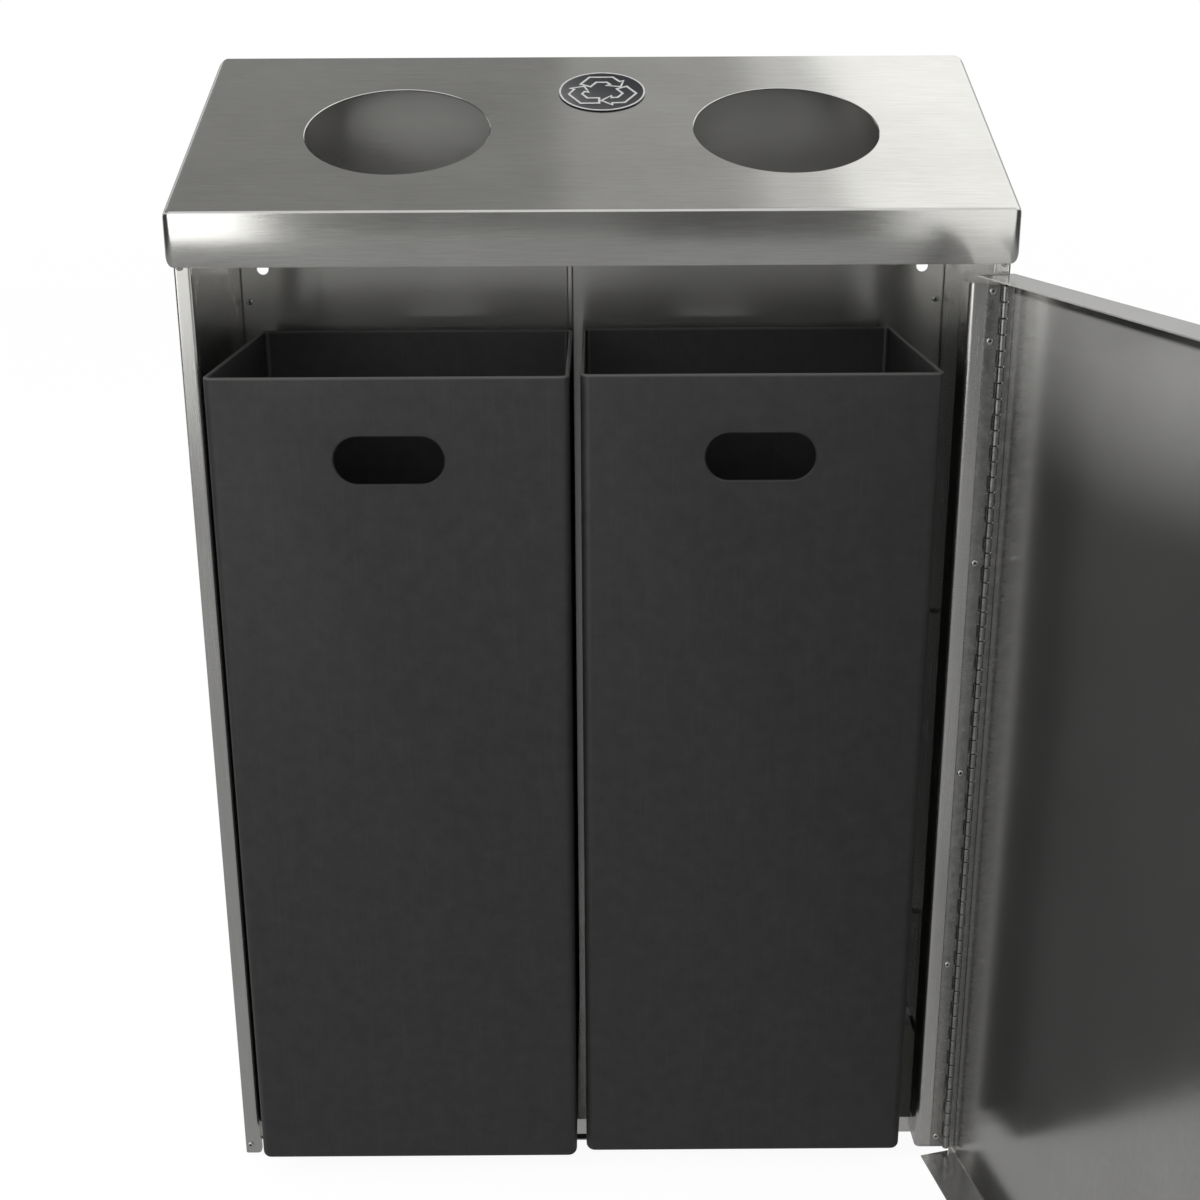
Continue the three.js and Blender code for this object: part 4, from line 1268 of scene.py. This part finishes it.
@dataclass
class Fasteners:
    """Blind rivets, lid screws and feet, each turned from its node's box."""

    def rivet(self, node: str, finishes: Finishes) -> None:
        """Makes one rivet: a ring-shaped head whose pocket is painted near black as shade, and its tail.

        Args:
            node: a rivet whose axis lies along y, with its head at the low end.
            finishes: the bin's finishes.
        """
        low, high = node_box(node)
        middle, h = (low + high) / 2, float(high[1] - low[1]) / MM
        head = [(0.01, 1.15), (0.85, 1.1), (1.0, 0.25), (1.25, 0.02), (1.9, 0.0), (2.6, 0.3),
                (3.0, 0.85), (3.0, 1.2)]
        tail = [(1.6, 1.2), (1.6, h - 2.0), (2.1, h - 1.8), (2.4, h - 1.2), (2.1, h - 0.3), (0.01, h)]
        place = on_axes((1, 0, 0), (0, 0, -1), (0, 1, 0), (middle[0], low[1], middle[2]))
        steps = 24
        obj = dress(make_object(f"{node}_head", turned_mm(head + tail, place, steps)), finishes.rivet)
        # The pocket's faces get the near-black finish: painted shade in the rivet's hollow.
        obj.data.materials.append(finishes.shadow_gap)
        pocket_shade_mask = np.zeros(len(obj.data.polygons), dtype=np.int32)
        pocket_shade_mask[:2 * steps] = 1
        pocket_shade_mask[-2] = 1
        obj.data.polygons.foreach_set("material_index", pocket_shade_mask)
        seat(obj, "cabinet", [node])

    def lid_screw(self, node: str, finishes: Finishes) -> None:
        """Makes one lid screw: a domed head with a round lead-in, its shoulder and its shank.

        Args:
            node: a screw whose axis lies along x, with its head outside the lid.
            finishes: the bin's finishes.
        """
        low, high = node_box(node)
        side = 1 if low[0] > 0 else -1
        middle, length = (low + high) / 2, float(high[0] - low[0]) / MM
        head = [(0.01, 1.4), (1.9, 1.4), (2.1, 0.2), (2.6, 0.05), (4.6, 0.6), (6, 2.1), (6, 2.4)]
        shank = [(3.6, 2.4), (3.6, 7.3), (2, 7.3), (2, length - 0.6), (1.5, length), (0.01, length)]
        outer = high[0] if side > 0 else low[0]
        place = on_axes((0, 1, 0), (0, 0, -side), (-side, 0, 0), (outer, middle[1], middle[2]))
        add_piece(f"{node}_head", turned_mm(head + shank, place, 28), finishes.rivet, "cabinet",
                  [node])

    def foot(self, node: str, finishes: Finishes) -> None:
        """Makes one rubber foot: a low turned pad with a groove and a softened lower edge.

        Args:
            node: the foot's node.
            finishes: the bin's finishes.
        """
        low, high = node_box(node)
        middle = (low + high) / 2
        r, h = float(high[0] - low[0]) / 2 / MM, float(high[2] - low[2]) / MM
        sole = [(0.01, 0.4), (r - 5, 0.4), (r - 4.4, 0), (r - 1.2, 0), (r - 0.4, 0.3)]
        wall = [(r, 1.0), (r, 1.8), (r - 0.5, 2.1), (r, 2.4), (r, h - 0.4), (r - 0.4, h), (0.01, h)]
        place = on_axes((1, 0, 0), (0, 1, 0), (0, 0, 1), (middle[0], middle[1], float(low[2])))
        add_piece(f"{node}_pad", turned_mm(sole + wall, place, 48), finishes.rubber, "cabinet",
                  [node])

    def build(self, finishes: Finishes) -> None:
        """Makes every rivet, screw and foot that the frame has.

        Args:
            finishes: the bin's finishes.
        """
        for node in sorted(frame["nodes"]):
            if "rivet" in node:
                self.rivet(node, finishes)
            elif node.startswith("lid_screw"):
                self.lid_screw(node, finishes)
            elif node.startswith("foot_"):
                self.foot(node, finishes)


class Cabinet:
    """The folded panels that keep their CAD shape."""

    def build(self, finishes: Finishes) -> None:
        """Gives each panel its finish.

        Args:
            finishes: the bin's finishes.
        """
        for node in ("left_side_panel", "right_side_panel", "liner_bead"):
            redress(node, finishes.post)
        for node in ("back_panel", "floor_pan", "floor_runner"):
            redress(node, finishes.inside)
        redress("top_rail", finishes.lid)


# ------------------------------------------------------------------ studio


@dataclass
class Studio:
    """Camera, floor, lamps and the grey cards that only the steel's reflections see.

    A row of cards is written as its bands, each one (from x, to x, level).
    """

    eye: tuple[float, float, float] = (0.00066, -1.4128, 0.9552)
    pitch: float = 17.825
    yaw: float = -0.175
    roll: float = -0.266
    focal_pixels: float = 1643.6
    frame_pixels: float = 1200.0
    fill: float = 0.4
    floor_half: float = 9.0
    floor_glow: float = 1.09
    floor_share: float = 0.86
    floor_in_steel: float = 0.37
    wall_y: float = -4.4
    sky_z: float = 4.2
    sky: tuple = ((-7, -0.1, 0.31), (-0.1, 0.55, 0.46), (0.55, 0.8, 0.8), (0.8, 7, 1.4))
    wall: tuple = ((-5, -1.38, 2.6), (-1.38, 0.15, 0.22), (0.15, 1.25, 0.12), (1.25, 5, 1.3))
    low: tuple = ((-5, -1.38, 2.6), (-1.38, 0.15, 0.38), (0.15, 1.25, 0.16), (1.25, 5, 1.3))

    def camera(self) -> None:
        """Sets the camera at the photograph's place, from its pitch, yaw and roll in degrees."""
        yaw, pitch, roll = (math.radians(a) for a in (self.yaw, self.pitch, self.roll))
        right = Vector((math.cos(yaw), math.sin(yaw), 0))
        ahead = Vector((-math.sin(yaw), math.cos(yaw), 0))
        forward = math.cos(pitch) * ahead - math.sin(pitch) * Vector((0, 0, 1))
        up = math.sin(pitch) * ahead + math.cos(pitch) * Vector((0, 0, 1))
        across = math.cos(roll) * right + math.sin(roll) * up
        above = -math.sin(roll) * right + math.cos(roll) * up
        data = bpy.data.cameras.new("photograph_camera")
        data.sensor_fit = "HORIZONTAL"
        data.sensor_width = 36.0
        data.lens = data.sensor_width * self.focal_pixels / self.frame_pixels
        data.clip_start = 0.01
        camera = bpy.data.objects.new("photograph_camera", data)
        camera.matrix_world = on_axes(across, above, -forward, self.eye)
        bpy.context.scene.collection.objects.link(camera)
        bpy.context.scene.camera = camera

    @staticmethod
    def glow(tree: bpy.types.NodeTree, level: float, tone: Colour = EVEN,
             kind: str = "ShaderNodeEmission") -> bpy.types.NodeSocket:
        """Adds an even glow to a tree.

        Args:
            tree: a material's or the world's nodes.
            level: how bright it is.
            tone: its colour.
            kind: the shader node, an emission or a background.

        Returns:
            The shader's socket.
        """
        node = tree.nodes.new(kind)
        node.inputs["Color"].default_value = (*tone, 1)
        node.inputs["Strength"].default_value = level
        return node.outputs[0]

    @staticmethod
    def choose(tree: bpy.types.NodeTree, factor: bpy.types.NodeSocket, first: bpy.types.NodeSocket,
               second: bpy.types.NodeSocket) -> bpy.types.NodeSocket:
        """Mixes two shaders.

        Args:
            tree: the nodes that they are in.
            factor: 0 for the first, 1 for the second.
            first: a shader's socket.
            second: another one's.

        Returns:
            The mixed shader's socket.
        """
        mix = tree.nodes.new("ShaderNodeMixShader")
        for source, target in zip((factor, first, second), mix.inputs):
            tree.links.new(source, target)
        return mix.outputs[0]

    def world(self) -> None:
        """White surroundings for the eye and for reflections, a softer fill for everything else."""
        world = bpy.data.worlds.new("studio_white")
        bpy.context.scene.world = world
        world.use_nodes = True
        tree = world.node_tree
        tree.nodes.clear()
        rays = tree.nodes.new("ShaderNodeLightPath")
        most = rays.outputs["Is Camera Ray"]
        for name in ("Is Glossy Ray", "Is Transmission Ray"):
            pick = tree.nodes.new("ShaderNodeMath")
            pick.operation = "MAXIMUM"
            tree.links.new(most, pick.inputs[0])
            tree.links.new(rays.outputs[name], pick.inputs[1])
            most = pick.outputs[0]
        fill, seen = (self.glow(tree, level, kind="ShaderNodeBackground") for level in (self.fill, 1.0))
        out = tree.nodes.new("ShaderNodeOutputWorld")
        tree.links.new(self.choose(tree, most, fill, seen), out.inputs["Surface"])

    def floor(self) -> None:
        """Pale floor: it catches a faint shadow for the eye, and is mid grey in reflections."""
        outline = rounded_outline(self.floor_half, self.floor_half, 0.5, 4)
        points = np.column_stack([outline, np.full(len(outline), -0.4 * MM)])
        obj = make_object("studio_floor", Skin(points, [list(range(len(points)))]))
        material = bpy.data.materials.new("floor_white")
        material.use_nodes = True
        tree = material.node_tree
        surface = tree.nodes["Principled BSDF"]
        surface.inputs["Base Color"].default_value = (0.9, 0.9, 0.9, 1)
        surface.inputs["Roughness"].default_value = 0.9
        rays = tree.nodes.new("ShaderNodeLightPath")
        share = tree.nodes.new("ShaderNodeMath")
        share.operation = "MULTIPLY"
        share.inputs[1].default_value = self.floor_share
        tree.links.new(rays.outputs["Is Camera Ray"], share.inputs[0])
        eye = self.choose(tree, share.outputs[0], surface.outputs[0], self.glow(tree, self.floor_glow))
        dim = self.glow(tree, self.floor_in_steel)
        mirror = self.choose(tree, rays.outputs["Is Glossy Ray"], eye, dim)
        tree.links.new(mirror, tree.nodes["Material Output"].inputs["Surface"])
        obj.data.materials.append(material)

    def card(self, name: str, centre: Sequence[float], size: tuple[float, float],
             facing: Sequence[float], level: float) -> None:
        """Hangs a grey card outside the camera's view, which only reflections see.

        Args:
            name: the card's name.
            centre: its middle.
            size: width and height.
            facing: the way its face points.
            level: how bright it looks.
        """
        normal = Vector(facing).normalized()
        along = Vector((0, 1, 0)) if abs(normal.x) > 0.5 else Vector((1, 0, 0))
        plan = rounded_outline(size[0] / 2, size[1] / 2, 0.02, 3)
        flat = Skin(np.column_stack([plan, np.zeros(len(plan))]), [list(range(len(plan)))])
        obj = make_object(name, flat.turned(on_axes(along, normal.cross(along), normal, centre)))
        material = bpy.data.materials.new(name)
        material.use_nodes = True
        tree = material.node_tree
        tree.nodes.clear()
        out = tree.nodes.new("ShaderNodeOutputMaterial")
        tone = (level, level, level * 0.98)
        tree.links.new(self.glow(tree, 1.0, tone), out.inputs["Surface"])
        obj.data.materials.append(material)
        obj.visible_camera = False
        obj.visible_diffuse = False
        obj.visible_shadow = False

    def row(self, name: str, bands: Sequence[tuple[float, float, float]], y: float, z: float,
            height: float, facing: Sequence[float]) -> None:
        """Hangs a row of cards side by side.

        Args:
            name: what their names start with.
            bands: from x, to x and level of each.
            y: their middle.
            z: their middle.
            height: of each card.
            facing: the way they face.
        """
        for n, (x0, x1, level) in enumerate(bands):
            self.card(f"{name}_{n}", ((x0 + x1) / 2, y, z), (x1 - x0, height), facing, level)

    @staticmethod
    def lamp(name: str, at: Sequence[float], aim: Sequence[float], watts: float, kind: str,
             **shape: float) -> None:
        """Hangs a lamp that reflections don't see, aimed at a point.

        Args:
            name: the lamp's name.
            at: where it hangs.
            aim: the point that it lights.
            watts: its power.
            kind: the lamp's type.
            **shape: its size, cone and softness, as the lamp's own properties.
        """
        data = bpy.data.lights.new(name, kind)
        data.energy = watts
        for key, value in shape.items():
            setattr(data, key, value)
        obj = bpy.data.objects.new(name, data)
        obj.location = at
        obj.rotation_euler = (Vector(aim) - Vector(at)).to_track_quat("-Z", "Y").to_euler()
        obj.visible_glossy = False
        bpy.context.scene.collection.objects.link(obj)

    def build(self) -> None:
        """Sets up the whole studio."""
        self.camera()
        self.world()
        self.floor()
        self.row("card_sky", self.sky, 2.6, self.sky_z, 7, (0, 0, -1))
        self.row("card_wall", self.wall, self.wall_y, 1.26, 1.9, (0, 1, 0))
        self.row("card_low", self.low, self.wall_y, 0.05, 0.5, (0, 1, 0))
        for name, x in (("card_left", -4.6), ("card_right", 4.6)):
            self.card(name, (x, 0.2, 0.9), (6.0, 2.2), (-x, 0, 0), 0.07)
        self.card("card_behind", (1.0, 6.2, 1.6), (12.0, 3.4), (0, -1, 0), 0.5)
        self.lamp("door_spot", (-0.5, -1.9, 1.3), (0.38, -0.47, 0.98), 1000, "SPOT",
                  spot_size=math.radians(17), spot_blend=0.25, shadow_soft_size=0.05)
        self.lamp("key_lamp", (-2.2, -2.4, 2.4), (-0.15, 0, 0.4), 45, "AREA", size=1.6)
        self.lamp("fill_lamp", (2.0, -2.6, 2.2), (0, 0, 0.5), 8, "AREA", size=2.0)
        LOG.info("the studio is set")


def main() -> None:
    """Builds every sub-assembly in order."""
    logging.basicConfig(level=logging.INFO, format="%(name)s: %(message)s")
    view = bpy.context.scene.view_settings
    view.view_transform = "Standard"
    Studio().build()
    finishes = Finishes()
    line = HingeLine()
    for assembly in (Lid(), Liner("left_liner", "liner_left"), Liner("right_liner", "liner_right"),
                     PianoHinge(line), Jamb(), Door(line), Lock(line), Fasteners(), Cabinet()):
        assembly.build(finishes)
        LOG.info("%s is done", type(assembly).__name__)


if __name__ == "__main__":
    main()
